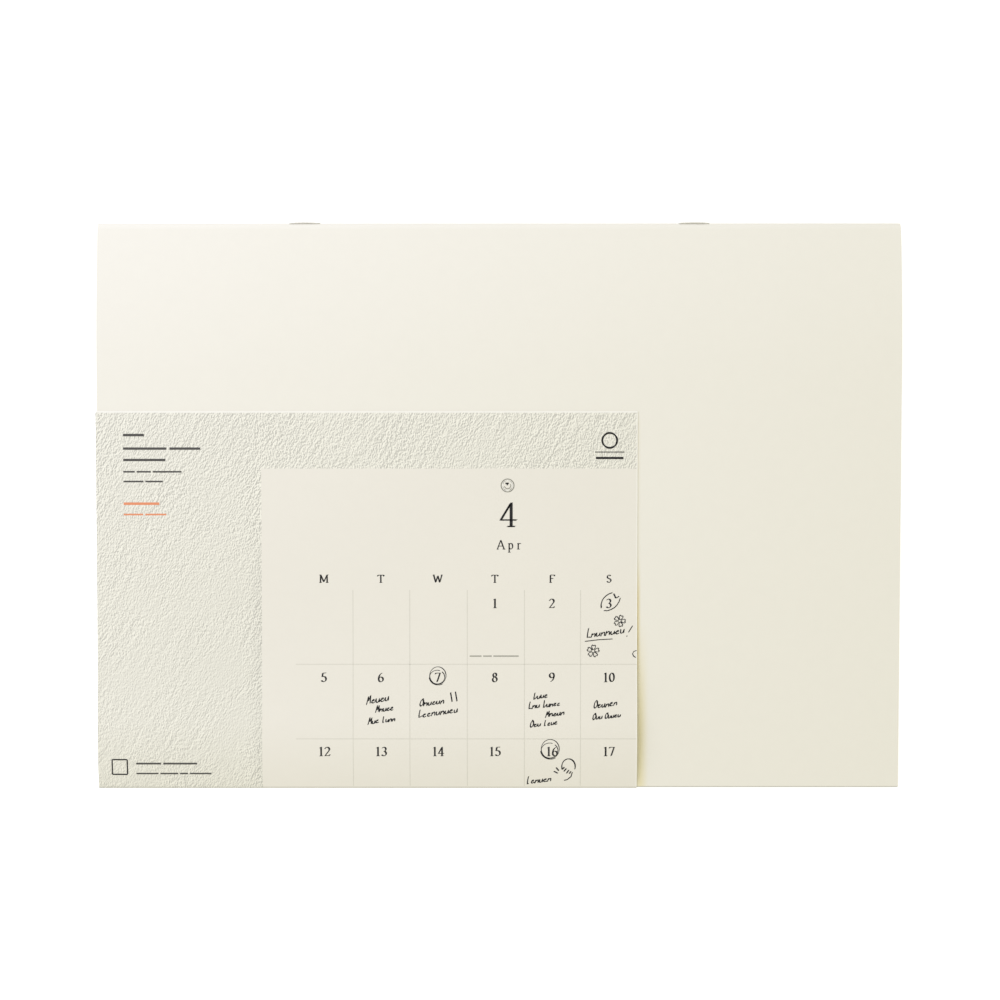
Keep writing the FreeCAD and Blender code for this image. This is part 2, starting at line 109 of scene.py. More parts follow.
# ---------------------------------------------------------------------------------------------
# Shader maths
# ---------------------------------------------------------------------------------------------


class Amount:
    """A number that varies over a surface, for use in plain sums."""

    def __init__(self, nodes: "Nodes", socket: Socket) -> None:
        """Hold the socket that gives the number."""
        self.nodes = nodes
        self.socket = socket

    def _sum(self, operation: str, first: "Number", second: "Number" = 0.0, third: "Number" = 0.0) -> "Amount":
        """Add one Math node and give its result."""
        return self.nodes.add("ShaderNodeMath", {"operation": operation}, {0: first, 1: second, 2: third})

    def __add__(self, other: "Number") -> "Amount":
        """Give the sum."""
        return self._sum("ADD", self, other)

    def __radd__(self, other: "Number") -> "Amount":
        """Give the sum with a plain number first."""
        return self._sum("ADD", other, self)

    def __sub__(self, other: "Number") -> "Amount":
        """Give the difference."""
        return self._sum("SUBTRACT", self, other)

    def __rsub__(self, other: "Number") -> "Amount":
        """Give the difference with a plain number first."""
        return self._sum("SUBTRACT", other, self)

    def __mul__(self, other: "Number") -> "Amount":
        """Give the product."""
        return self._sum("MULTIPLY", self, other)

    def __rmul__(self, other: "Number") -> "Amount":
        """Give the product with a plain number first."""
        return self._sum("MULTIPLY", other, self)

    def eased(self, low: float, high: float) -> "Amount":
        """Rise smoothly from 0 at a low value to 1 at a high one.

        Args:
            low: The value that gives 0.
            high: The value that gives 1, which may be the smaller.

        Returns:
            The eased amount.
        """
        settings = {"interpolation_type": "SMOOTHSTEP"}
        return self.nodes.add("ShaderNodeMapRange", settings, {"Value": self, "From Min": low, "From Max": high})

    def atleast(self, other: "Number") -> "Amount":
        """Give the larger of the two."""
        return self._sum("MAXIMUM", self, other)

    def atmost(self, other: "Number") -> "Amount":
        """Give the smaller of the two."""
        return self._sum("MINIMUM", self, other)


Number = Union[Amount, float]
Input = Union[Amount, Socket, float, tuple, Vector]


class Nodes:
    """The nodes of one finish."""

    def __init__(self, name: str) -> None:
        """Start an empty material with its shader and output.

        Args:
            name: The material's name.
        """
        self.material = bpy.data.materials.new(name)
        self.material.use_nodes = True
        self.tree = self.material.node_tree
        self.tree.nodes.clear()
        self.shader = self.tree.nodes.new("ShaderNodeBsdfPrincipled")
        output = self.tree.nodes.new("ShaderNodeOutputMaterial")
        self.tree.links.new(self.shader.outputs["BSDF"], output.inputs["Surface"])
        place = self.tree.nodes.new("ShaderNodeTexCoord").outputs["Object"]
        self.place = self.vector("MULTIPLY", place, (1 / MM, 1 / MM, 1 / MM))

    def add_raw(self, kind: str, settings: dict, inputs: dict) -> bpy.types.Node:
        """Add a node.

        Args:
            kind: The node's type.
            settings: The node's own settings, set before its inputs.
            inputs: Values or links for its sockets, by name or number.

        Returns:
            The new node.
        """
        node = self.tree.nodes.new(kind)
        for setting, value in settings.items():
            setattr(node, setting, value)
        for socket, value in inputs.items():
            self.feed(node.inputs[socket], value)
        return node

    def add(self, kind: str, settings: dict, inputs: dict, output: Union[str, int] = 0) -> Amount:
        """Add a node and give one of its results as a number."""
        return Amount(self, self.add_raw(kind, settings, inputs).outputs[output])

    def feed(self, socket: Socket, value: Input) -> None:
        """Set a socket's value or link it.

        Args:
            socket: The socket.
            value: A plain value, or what gives it.
        """
        if isinstance(value, Amount):
            value = value.socket
        if isinstance(value, Socket):
            self.tree.links.new(value, socket)
        elif isinstance(value, (tuple, Vector)) and socket.type == "RGBA" and len(value) == 3:
            socket.default_value = (*value, 1.0)
        else:
            socket.default_value = value

    def vector(self, operation: str, first: Input, second: Input) -> Socket:
        """Add one Vector Math node and give its result."""
        return self.add_raw("ShaderNodeVectorMath", {"operation": operation}, {0: first, 1: second}).outputs[0]

    def across(self, stretch: Triple = (1, 1, 1), turn: float = 0, shift: Triple = (0, 0, 0)) -> Socket:
        """Give the place on the piece in millimetres, stretched, turned and shifted.

        Args:
            stretch: Scale along each axis, after the turn.
            turn: Turn about the upright axis, in degrees.
            shift: Shift in millimetres, before the turn.

        Returns:
            The place as a vector.
        """
        inputs = {"Vector": self.vector("ADD", self.place, shift), "Angle": math.radians(turn)}
        turned = self.add_raw("ShaderNodeVectorRotate", {"rotation_type": "Z_AXIS"}, inputs)
        return self.vector("MULTIPLY", turned.outputs[0], stretch)

    def noise(self, place: Socket, size: float, detail: float = 2, rough: float = 0.5, twist: float = 0) -> Amount:
        """Give a noise between 0 and 1.

        Args:
            place: The place to measure at, in millimetres.
            size: The size of its blotches in millimetres.
            detail: How many finer layers it has.
            rough: How strong the finer layers are.
            twist: How far its blotches wander.

        Returns:
            The noise.
        """
        inputs = {"Vector": place, "Scale": 1 / size, "Detail": detail, "Roughness": rough, "Distortion": twist}
        return self.add("ShaderNodeTexNoise", {}, inputs)

    def looked_at(self) -> Amount:
        """Give 1 to the camera and to what mirrors and glass show, and 0 to the light.

        Returns:
            The 1 or 0.
        """
        path = self.add_raw("ShaderNodeLightPath", {}, {})
        rays = ("Is Camera Ray", "Is Glossy Ray", "Is Transmission Ray")
        camera, glossy, through = (Amount(self, path.outputs[ray]) for ray in rays)
        return camera.atleast(glossy).atleast(through)

    def axes(self) -> tuple[Amount, Amount, Amount]:
        """Give the three parts of the place, in millimetres."""
        split = self.add_raw("ShaderNodeSeparateXYZ", {}, {0: self.place})
        return tuple(Amount(self, part) for part in split.outputs)

    def blend(self, share: Number, first: Input, second: Input, kind: str = "MIX") -> Socket:
        """Mix two colours.

        Args:
            share: The second colour's share.
            first: The first colour.
            second: The second colour.
            kind: How they mix.

        Returns:
            The mixed colour.
        """
        inputs = {MIX_SHARE: share, MIX_FIRST: first, MIX_SECOND: second}
        return self.add_raw("ShaderNodeMix", {"data_type": "RGBA", "blend_type": kind}, inputs).outputs[MIX_RESULT]

    def shade(self, colour: Input, strength: Amount) -> Socket:
        """Make a colour lighter or darker by a number near 1."""
        grey = self.add_raw("ShaderNodeCombineXYZ", {}, {0: strength, 1: strength, 2: strength}).outputs[0]
        return self.blend(1.0, colour, grey, "MULTIPLY")

    def bump(self, height: Amount, depth: float) -> None:
        """Let a height tilt the surface.

        Args:
            height: The height, from 0 to 1.
            depth: What 1 stands for, in millimetres.
        """
        node = self.add_raw("ShaderNodeBump", {}, {"Height": height, "Distance": depth * MM, "Strength": 1.0})
        self.tree.links.new(node.outputs[0], self.shader.inputs["Normal"])

    def dress(self, **sockets: Input) -> Material:
        """Set the shader's own sockets, named with underscores for spaces, and give the material."""
        for name, value in sockets.items():
            self.feed(self.shader.inputs[name.replace("_", " ")], value)
        return self.material


class RoomNodes(Nodes):
    """The nodes of the room's own light."""

    def __init__(self, name: str) -> None:
        """Start a world with its background.

        Args:
            name: The world's name.
        """
        self.world = bpy.data.worlds.new(name)
        self.world.use_nodes = True
        self.tree = self.world.node_tree
        self.shader = self.tree.nodes["Background"]


# ---------------------------------------------------------------------------------------------
# Finishes
# ---------------------------------------------------------------------------------------------


@dataclass(frozen=True)
class Paper:
    """Smooth uncoated paper with a cloudy mass and a fine grain of fibres."""

    name: str
    colour: Colour
    cloud_size: float = 4.5
    cloud_strength: float = 0.024
    fibre_size: float = 0.22
    fibre_strength: float = 0.04
    grain_depth: float = 0.006
    roughness: float = 0.72
    unevenness: float = 0.12
    gloss: float = 0.35

    def grain(self, nodes: Nodes) -> tuple[Amount, Amount]:
        """Give the paper's cloudy shade, near 1, and the height of its grain.

        Args:
            nodes: The finish being made.

        Returns:
            The shade and the grain's height.
        """
        clouds = nodes.noise(nodes.across(), self.cloud_size, 3, 0.6)
        fibres = nodes.noise(nodes.across((1, 2.6, 1), 24), self.fibre_size, 2, 0.6)
        crossed = nodes.noise(nodes.across((2.4, 1, 1), -37, (3, 5, 0)), self.fibre_size, 2, 0.6)
        grain = fibres * 0.5 + crossed * 0.5
        return 1 + (clouds - 0.5) * self.cloud_strength + (grain - 0.5) * self.fibre_strength, grain

    def finish(self, nodes: Nodes, colour: Input, shade: Amount, grain: Amount) -> Material:
        """Give the paper its colour, its raised grain and its gloss.

        Args:
            nodes: The finish being made.
            colour: The paper's colour.
            shade: How light it is, near 1.
            grain: The height of its grain.

        Returns:
            The paper.
        """
        nodes.bump(grain, self.grain_depth)
        rough = self.roughness + (grain - 0.5) * self.unevenness if self.unevenness else self.roughness
        return nodes.dress(Base_Color=nodes.shade(colour, shade), Roughness=rough, Specular_IOR_Level=self.gloss)

    def build(self) -> Material:
        """Make the paper."""
        nodes = Nodes(self.name)
        return self.finish(nodes, self.colour, *self.grain(nodes))


@dataclass(frozen=True)
class CoverPaper(Paper):
    """The cover's paper, with a painted tan shadow in a soft streak beside the band's lifted edge."""

    # Painted shadow beside the band's right edge: a wide soft tint and a narrow darker one, fading out towards the
    # band's top end.
    streak_start: float = 51.0
    band_end: Span = (34.0, 30.0)
    wide_top: float = -36.0
    wide_foot: float = -82.0
    wide_near: Span = (-0.6, 1.8)
    wide_far: Span = (5.2, 1.4)
    wide_tint: Colour = (0.965, 0.91, 0.69)
    slim_top: float = -16.0
    slim_full: float = -36.0
    slim_fade: Span = (-74.0, -50.0)
    slim_far: Span = (2.0, 0.5)
    slim_least: float = 0.12
    slim_tint: Colour = (0.86, 0.77, 0.5)

    def tinted(self, tint: Colour) -> Colour:
        """Give the paper's colour times a tint."""
        return tuple(part * share for part, share in zip(self.colour, tint))

    def build(self) -> Material:
        """Make the cover's paper.

        Returns:
            The material.
        """
        nodes = Nodes(self.name)
        across, along, _ = nodes.axes()
        # Paint the band's shadow on the cover: wide and soft lower down, narrow and dark close to the band's edge.
        past = across - self.streak_start
        wide = past.eased(*self.wide_far) * past.eased(*self.wide_near) * along.eased(self.wide_top, self.wide_foot)
        run = along.eased(self.slim_top, self.slim_full) * (1 - self.slim_least) + self.slim_least
        slim_shadow = past.eased(*self.slim_far) * run * along.eased(*self.slim_fade)
        wide_shadowed = nodes.blend(wide, self.colour, self.tinted(self.wide_tint))
        slim_shadow = slim_shadow * along.eased(*self.band_end)
        return self.finish(nodes, nodes.blend(slim_shadow, wide_shadowed, self.tinted(self.slim_tint)), *self.grain(nodes))


@dataclass(frozen=True)
class LeafPaper(Paper):
    """Paper of the inner leaves, with painted shade darkening their free ends."""

    roughness: float = 0.8
    unevenness: float = 0.0
    gloss: float = 0.3
    ends: Span = (-104.2, -104.45)
    dulling: float = 0.3

    def build(self) -> Material:
        """Make the leaves' paper.

        Returns:
            The material.
        """
        nodes = Nodes(self.name)
        _, along, _ = nodes.axes()
        shade, grain = self.grain(nodes)
        # Painted shade: the leaves' free ends are darkened where the stacked leaves shade each other.
        return self.finish(nodes, self.colour, shade * (1 - along.eased(*self.ends) * self.dulling), grain)


@dataclass(frozen=True)
class CutEdge:
    """The guillotined edge of paper: a little darker, with drag marks across it."""

    name: str
    colour: Colour
    roughness: float = 0.85
    gloss: float = 0.25
    drag_depth: float = 0.02

    def build(self) -> Material:
        """Make the cut edge.

        Returns:
            The material.
        """
        nodes = Nodes(self.name)
        drag = nodes.noise(nodes.across((1, 1, 0.3)), 0.5, 3, 0.6)
        sheets = nodes.noise(nodes.across((0.05, 0.05, 1)), 0.09, 1, 0.5)
        nodes.bump(drag, self.drag_depth)
        colour = nodes.shade(self.colour, 0.96 + (drag - 0.5) * 0.16 + (sheets - 0.5) * 0.14)
        return nodes.dress(Base_Color=colour, Roughness=self.roughness, Specular_IOR_Level=self.gloss)


@dataclass(frozen=True)
class Ridges:
    """One set of ridges that a trowel left in plaster: turn in degrees, width and shift in millimetres."""

    turn: float
    width: float
    stretch: float
    shift: float
    strength: float

    def light(self, nodes: Nodes) -> Amount:
        """Give the ridges' lit and shaded sides, as the difference of two heights measured a little apart.

        Args:
            nodes: The finish being made.

        Returns:
            The light, about 0.
        """
        sides = []
        for side in (1, -1):
            place = nodes.across((1, self.stretch, 1), self.turn, (side * self.shift, -side * self.shift, 0))
            sides.append(nodes.noise(place, self.width, 2.4, 0.55, 0.35))
        return (sides[0] - sides[1]) * self.strength


@dataclass(frozen=True)
class BandPrint:
    """The band's printed face: plaster down the left and along the top, a pale month sheet on the rest."""

    name: str
    paper: Paper
    plaster: Colour
    sheet: Colour
    bare: Colour
    sheet_left: float = -87.7
    sheet_top: float = 13.9
    sheet_blur: Span = (-0.09, 0.09)
    # A pale margin at the top and right ends, lighter than the band's paper: unprinted paper that also serves as a
    # painted highlight on the cut edges.
    top_end: float = 35.15
    right_end: float = 51.4
    margin: float = 0.6
    # Painted shade on the band's face near the fold at the free edge, and on the round of the fold itself.
    crease: float = -104.2
    crease_tint: float = 0.07
    fold_foot: float = 3.95
    fold_tint: float = 0.2
    upright: Ridges = Ridges(12, 0.46, 0.52, 0.12, 1.0)
    rising: Ridges = Ridges(36, 0.552, 0.42, 0.14, 1.2)
    falling: Ridges = Ridges(-32, 0.552, 0.42, 0.14, 1.4)
    nicks: Ridges = Ridges(28, 1.564, 0.16, 0.1, 1.1)
    relief: float = 1.42
    lightest: float = 0.19
    darkest: float = -0.31
    beside: float = 9.0
    beside_gain: float = 0.65
    calm: Span = (-10.0, -60.0)
    calm_loss: float = 0.42
    shadow: float = 5.2
    shadow_tint: float = 0.06
    shadow_start: float = 14.0
    shadow_run: float = 30.0
    polish: float = 0.08
    unevenness: float = 0.1
    gloss: float = 0.4

    def lit(self, nodes: Nodes, across: Amount, along: Amount) -> Amount:
        """Give the plaster's light and shade, stronger beside the month sheet and calmer low down.

        Args:
            nodes: The finish being made.
            across: The place across the band.
            along: The place up the band.

        Returns:
            The light, about 0.
        """
        patches = nodes.noise(nodes.across((1, 0.7, 1), 35), 17).eased(0.3, 0.7)
        swept = nodes.noise(nodes.across((0.8, 1, 1), -20, (40, 11, 0)), 22).eased(0.42, 0.58)
        marks = self.rising.light(nodes) * (1 - swept) + self.falling.light(nodes) * swept + self.nicks.light(nodes)
        relief = self.upright.light(nodes) * (0.9 + patches * 0.5) + marks * (patches * 0.95 + 0.25)
        beside = (across - (self.sheet_left - self.beside)).eased(0, self.beside)
        beside = beside * (self.sheet_top - along).eased(-4, 8)
        calmed = 1 - along.eased(*self.calm) * self.calm_loss
        relief = relief * (1 + beside * self.beside_gain) * calmed * self.relief
        return relief.atmost(self.lightest).atleast(self.darkest)

    def wall(self, nodes: Nodes, across: Amount, along: Amount) -> Socket:
        """Give the plaster's colour, a little shadowed beside the month sheet.

        Args:
            nodes: The finish being made.
            across: The place across the band.
            along: The place up the band.

        Returns:
            The colour.
        """
        cloudy = nodes.noise(nodes.across(), 34)
        wall = nodes.shade(self.plaster, 1 + self.lit(nodes, across, along) + (cloudy - 0.5) * 0.05)
        shadowed = (across - (self.sheet_left - self.shadow)).eased(0, self.shadow)
        low = (self.sheet_top - self.shadow_start - along).eased(0, self.shadow_run)
        return nodes.shade(wall, 1 - shadowed * low * self.shadow_tint)

    def build(self) -> Material:
        """Make the printed face.

        Returns:
            The material.
        """
        nodes = Nodes(self.name)
        across, along, height = nodes.axes()
        shade, grain = self.paper.grain(nodes)
        page = nodes.shade(self.sheet, 1 + (nodes.noise(nodes.across(), 60, 1) - 0.5) * 0.03)
        on_sheet = (across - self.sheet_left).eased(*self.sheet_blur) * (self.sheet_top - along).eased(*self.sheet_blur)
        printed = nodes.blend(on_sheet, self.wall(nodes, across, along), page)
        # Paint the pale margin at the band's top and right ends, which also serves as a painted highlight on its cut
        # edges.
        from_top = (self.top_end - along).eased(self.margin * 1.5, self.margin * 0.7)
        from_right = (self.right_end - across).eased(self.margin, self.margin * 0.4)
        printed = nodes.blend(from_top.atleast(from_right * 0.8), printed, self.bare)
        # Paint shade towards the fold and on its round, where the paper turns away from the light.
        past = self.crease - along
        folded = past.eased(0.35, 0.6) * (height - self.fold_foot).eased(0, 0.15)
        painted_fold_shade = past.eased(0, 0.35) * self.crease_tint + folded * self.fold_tint
        nodes.bump(grain, self.paper.grain_depth)
        return nodes.dress(
            Base_Color=nodes.shade(printed, shade * (1 - painted_fold_shade)),
            Roughness=self.paper.roughness - self.polish + (grain - 0.5) * self.unevenness,
            Specular_IOR_Level=self.gloss,
        )


@dataclass(frozen=True)
class Ink:
    """Printing or drawing ink, a little thinner where it lies on the paper's grain."""

    name: str
    colour: Colour
    paper: Colour
    thinning: float = 0.08
    roughness: float = 0.6
    unevenness: float = 0.2
    gloss: float = 0.35

    def build(self) -> Material:
        """Make the ink.

        Returns:
            The material.
        """
        nodes = Nodes(self.name)
        grain = nodes.noise(nodes.across(), 0.16, 2, 0.6)
        return nodes.dress(
            Base_Color=nodes.blend(grain.eased(0.55, 0.85) * self.thinning, self.colour, self.paper),
            Roughness=self.roughness + (grain - 0.5) * self.unevenness,
            Specular_IOR_Level=self.gloss,
        )


@dataclass(frozen=True)
class StapleSteel:
    """Bright zinc-plated wire, drawn lengthwise."""

    name: str
    colour: Colour = (0.68, 0.66, 0.57)
    roughness: float = 0.3
    unevenness: float = 0.16
    draw_depth: float = 0.004

    def build(self) -> Material:
        """Make the wire's finish.

        Returns:
            The material.
        """
        nodes = Nodes(self.name)
        drawn = nodes.noise(nodes.across((0.12, 1, 1)), 0.08, 2, 0.5)
        dull = nodes.noise(nodes.across(), 1.6, 2, 0.5)
        nodes.bump(drawn, self.draw_depth)
        colour = nodes.shade(self.colour, 0.92 + (dull - 0.5) * 0.24 + (drawn - 0.5) * 0.1)
        rough = self.roughness + (dull - 0.5) * self.unevenness
        return nodes.dress(Base_Color=colour, Metallic=1.0, Roughness=rough)


# ---------------------------------------------------------------------------------------------
# Making
# ---------------------------------------------------------------------------------------------


class Bench:
    """The steps by which every piece is made."""

    @staticmethod
    def clear() -> None:
        """Deselect everything."""
        bpy.ops.object.select_all(action="DESELECT")

    @staticmethod
    def take(piece: Piece) -> None:
        """Select one piece alone and make it active.

        Args:
            piece: The piece.
        """
        Bench.clear()
        piece.select_set(True)
        bpy.context.view_layer.objects.active = piece

    @staticmethod
    def start(name: str, place: Vector) -> Piece:
        """Add a small plane, draw it together to a single point and stay in edit mode.

        Args:
            name: The piece's name.
            place: Where the point lies.

        Returns:
            The new piece.
        """
        Bench.clear()
        bpy.ops.mesh.primitive_plane_add(size=MM, location=(0, 0, 0))
        piece = bpy.context.active_object
        piece.name = name
        piece.data.name = name
        bpy.ops.object.mode_set(mode="EDIT")
        bpy.ops.mesh.select_mode(type="VERT")
        Bench.draw_together(place)
        return piece

    @staticmethod
    def start_again(place: Vector) -> None:
        """Add a further starting point to the piece that is in edit mode.

        Args:
            place: Where the point lies.
        """
        bpy.ops.mesh.select_all(action="DESELECT")
        bpy.ops.mesh.primitive_plane_add(size=MM, location=(0, 0, 0))
        Bench.draw_together(place)

    @staticmethod
    def draw_together(place: Vector) -> None:
        """Merge the selected plane to one point and put it in place."""
        bpy.ops.mesh.merge(type="CENTER")
        bpy.ops.transform.translate(value=place)

    @staticmethod
    def pull(step: Vector) -> None:
        """Extrude what is selected by one step."""
        bpy.ops.mesh.extrude_region_move(TRANSFORM_OT_translate={"value": step})

    @staticmethod
    def pull_along(path: Sequence[Vector]) -> None:
        """Extrude what is selected through a row of places.

        Args:
            path: The places, of which the first is where the selection lies.
        """
        for here, there in zip(path, path[1:]):
            Bench.pull(there - here)

    @staticmethod
    def pull_wide(step: Vector, count: int) -> None:
        """Select the whole section and extrude it in equal steps.

        Args:
            step: One step.
            count: How many steps are made.
        """
        bpy.ops.mesh.select_all(action="SELECT")
        for _ in range(count):
            Bench.pull(step)

    @staticmethod
    def close() -> Piece:
        """Leave edit mode and give the piece."""
        bpy.ops.object.mode_set(mode="OBJECT")
        return bpy.context.active_object

    @staticmethod
    def finish_with(piece: Piece, kind: str, **settings: object) -> None:
        """Add a modifier with its settings and apply it.

        Args:
            piece: The piece to change.
            kind: The modifier's type.
            **settings: The modifier's own settings.
        """
        Bench.take(piece)
        bpy.ops.object.modifier_add(type=kind)
        modifier = piece.modifiers[-1]
        for setting, value in settings.items():
            setattr(modifier, setting, value)
        bpy.ops.object.modifier_apply(modifier=modifier.name)

    @staticmethod
    def face_up(piece: Piece, upward: Callable[[bpy.types.MeshPolygon], bool]) -> None:
        """Turn over the faces that a test picks out.

        Args:
            piece: The piece to change.
            upward: Says of a face whether it lies the right way.
        """
        Bench.select_faces(piece, lambda face: not upward(face))
        bpy.ops.mesh.flip_normals()
        Bench.close()

    @staticmethod
    def select_faces(piece: Piece, chosen: Callable[[bpy.types.MeshPolygon], bool]) -> None:
        """Select a piece's faces by place or normal and enter edit mode.

        Args:
            piece: The piece to work on.
            chosen: Says of a face whether it is selected.
        """
        Bench.take(piece)
        bpy.ops.object.mode_set(mode="EDIT")
        bpy.ops.mesh.select_mode(type="FACE")
        bpy.ops.mesh.select_all(action="DESELECT")
        bpy.ops.object.mode_set(mode="OBJECT")
        for face in piece.data.polygons:
            face.select = chosen(face)
        bpy.ops.object.mode_set(mode="EDIT")

    @staticmethod
    def smooth(piece: Piece, angle: float = 35) -> None:
        """Shade a piece smooth.

        Args:
            piece: The piece to shade.
            angle: The sharpest edge that is still smooth, in degrees.
        """
        Bench.take(piece)
        bpy.ops.object.shade_smooth_by_angle(angle=math.radians(angle))

    @staticmethod
    def join(pieces: Sequence[Piece], name: str) -> Piece:
        """Join pieces into one.

        Args:
            pieces: The pieces, all in one frame.
            name: The name of the joined piece.

        Returns:
            The joined piece.
        """
        Bench.clear()
        for piece in pieces:
            piece.select_set(True)
        bpy.context.view_layer.objects.active = pieces[0]
        if len(pieces) > 1:
            bpy.ops.object.join()
        pieces[0].name = name
        pieces[0].data.name = name
        return pieces[0]

    @staticmethod
    def hand_over(piece: Piece, node: str, slot: Slot) -> None:
        """Attach the piece to the frame's root body and hide the solid that it stands for.

        Args:
            piece: The finished piece.
            node: The solid that it stands for.
            slot: Its material slot; not used.
        """
        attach(piece, "root")
        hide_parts(node)
        log.info("%s: %d faces for %s", piece.name, len(piece.data.polygons), node)


def arc(centre: Place, radius: float, start: float, end: float, step: float) -> list[Place]:
    """Give points along an arc.

    Args:
        centre: The arc's centre.
        radius: Its radius.
        start: The angle it starts at, in radians.
        end: The angle it ends at, in radians.
        step: The longest distance between points.

    Returns:
        The points, both ends included.
    """
    count = max(2, math.ceil(abs(end - start) * radius / step))
    turns = (start + (end - start) * part / count for part in range(count + 1))
    return [(centre[0] + radius * math.cos(turn), centre[1] + radius * math.sin(turn)) for turn in turns]


def between(start: Place, end: Place, step: float) -> list[Place]:
    """Give evenly spaced points on a straight line.

    Args:
        start: Where the line starts.
        end: Where it ends.
        step: The longest distance between points.

    Returns:
        The points, both ends included.
    """
    count = max(1, math.ceil(math.dist(start, end) / step))
    return [(start[0] + (end[0] - start[0]) * part / count, start[1] + (end[1] - start[1]) * part / count)
            for part in range(count + 1)]


def along_once(*parts: Iterable[Place]) -> list[Place]:
    """String parts of a line together and drop the points that fall on each other.

    Args:
        *parts: The parts, each a row of points.

    Returns:
        The points of the whole line.
    """
    line: list[Place] = []
    for part in parts:
        for point in part:
            if not line or math.dist(line[-1], point) > SAME_POINT:
                line.append(point)
    return line


@dataclass(frozen=True)
class FoldShape:
    """The shape of the folded booklet in section, across its fold, in millimetres."""

    half_depth: float = 104.75
    base: float = 0.25
    wall: float = 1.93
    slit: float = 2.28
    fore_slant: float = 0.41
    fore_run: float = 0.8
    fore_swell: float = 0.085
    fore_height: float = 4.21
    peak_height: float = 11.01
    peak_place: float = 60.0
    nose_radius: float = 3.0
    nose_place: float = 101.75
    nose_height: float = 4.85
    belly_radius: float = 261.0
    flank_radius: float = 220.0
    steps: int = 96

    @property
    def crown_radius(self) -> float:
        """Give the radius of the long arch over the stack."""
        run = self.nose_place - self.peak_place
        rise = self.peak_height - self.nose_height
        return (run**2 + rise**2 - self.nose_radius**2) / (2 * (rise - self.nose_radius))

    @property
    def crown_centre(self) -> Place:
        """Give the middle of the arch's circle."""
        return self.peak_place, self.peak_height - self.crown_radius

    @property
    def taper(self) -> float:
        """Give the slope of the flat part that falls to the free edge, in radians."""
        centre, free = self.crown_centre, (-self.half_depth + self.fore_slant, self.fore_height)
        reach = math.dist(centre, free)
        return math.atan2(centre[1] - free[1], centre[0] - free[0]) + math.asin(self.crown_radius / reach)

    @property
    def crown_end(self) -> float:
        """Give the angle on the arch where the round of the fold begins, in radians."""
        centre = self.crown_centre
        return math.atan2(self.nose_height - centre[1], self.nose_place - centre[0])

    def top(self, along: float, inset: float = 0.0) -> float:
        """Give the height of the upper side, or of a sheet below it.

        Args:
            along: The place across the fold.
            inset: How far under the outer face the sheet lies.

        Returns:
            The height.
        """
        slope = self.taper
        centre, radius = self.crown_centre, self.crown_radius - inset
        if along >= centre[0] - radius * math.sin(slope):
            return centre[1] + math.sqrt(radius**2 - (along - centre[0]) ** 2)
        rise = (along + self.half_depth - self.fore_slant) * math.tan(slope)
        return self.fore_height + rise - inset / math.cos(slope)

    def gap(self, along: float) -> float:
        """Give the free height between the upper leaves, pressed together, and what they rest on.

        Args:
            along: The place across the fold.

        Returns:
            The height.
        """
        rise = self.nose_height - self.slit - self.flank_radius
        reach = self.flank_radius + self.nose_radius - self.wall
        start = self.nose_place - math.sqrt(reach**2 - rise**2)
        run = min(max(along - start, 0.0), self.nose_place - start)
        floor = self.slit + self.flank_radius - math.sqrt(self.flank_radius**2 - run**2)
        return max(self.top(along, self.wall) - floor, 0.0)

    def lower_end(self, height: float) -> float:
        """Give the place of the stack's free edge, which slants out below the upper cover and swells a little.

        Args:
            height: The height in the stack.

        Returns:
            The place across the fold.
        """
        deep = min((self.fore_height - height) / self.fore_run, 1.0)
        low = max(0.0, 1.0 - (height - self.base) / self.fore_run)
        slant = (self.fore_slant + self.fore_swell) * (1.0 - deep) ** 2
        return -self.half_depth + slant - self.fore_swell * (1.0 - low)

    def section(self, inset: float, spread: float = 0.0, nudge: float = 0.0) -> list[Place]:
        """Give one sheet's line from its lower free edge round the fold to its upper one.

        Args:
            inset: How far the sheet's middle lies inside the outer face.
            spread: How much of the free gap it falls through, from 0 to 1.
            nudge: How far its free edges stand back.

        Returns:
            The points of the line.
        """
        flat = self.base + inset
        nose = (self.nose_place, self.nose_height)
        belly_lift = self.base + self.belly_radius - self.nose_height
        belly_place = self.nose_place - math.sqrt((self.belly_radius - self.nose_radius) ** 2 - belly_lift**2)
        belly = (belly_place, self.base + self.belly_radius)
        belly_end = math.atan2(nose[1] - belly[1], nose[0] - belly[0])
        under = between((self.lower_end(flat) + nudge, flat), (belly_place, flat), 24)
        rising = arc(belly, self.belly_radius - inset, -math.pi / 2, belly_end, 3)
        round_fold = arc(nose, self.nose_radius - inset, belly_end, self.crown_end, 0.22)
        last = round_fold[-1][0]
        high = self.top(-self.half_depth + self.fore_slant, inset)
        free = self.lower_end(high) + nudge
        places = [last + (free - last) * part / self.steps for part in range(1, self.steps + 1)]
        over = [(place, self.top(place, inset) - spread * self.gap(place)) for place in places]
        return along_once(under, rising, round_fold, over)


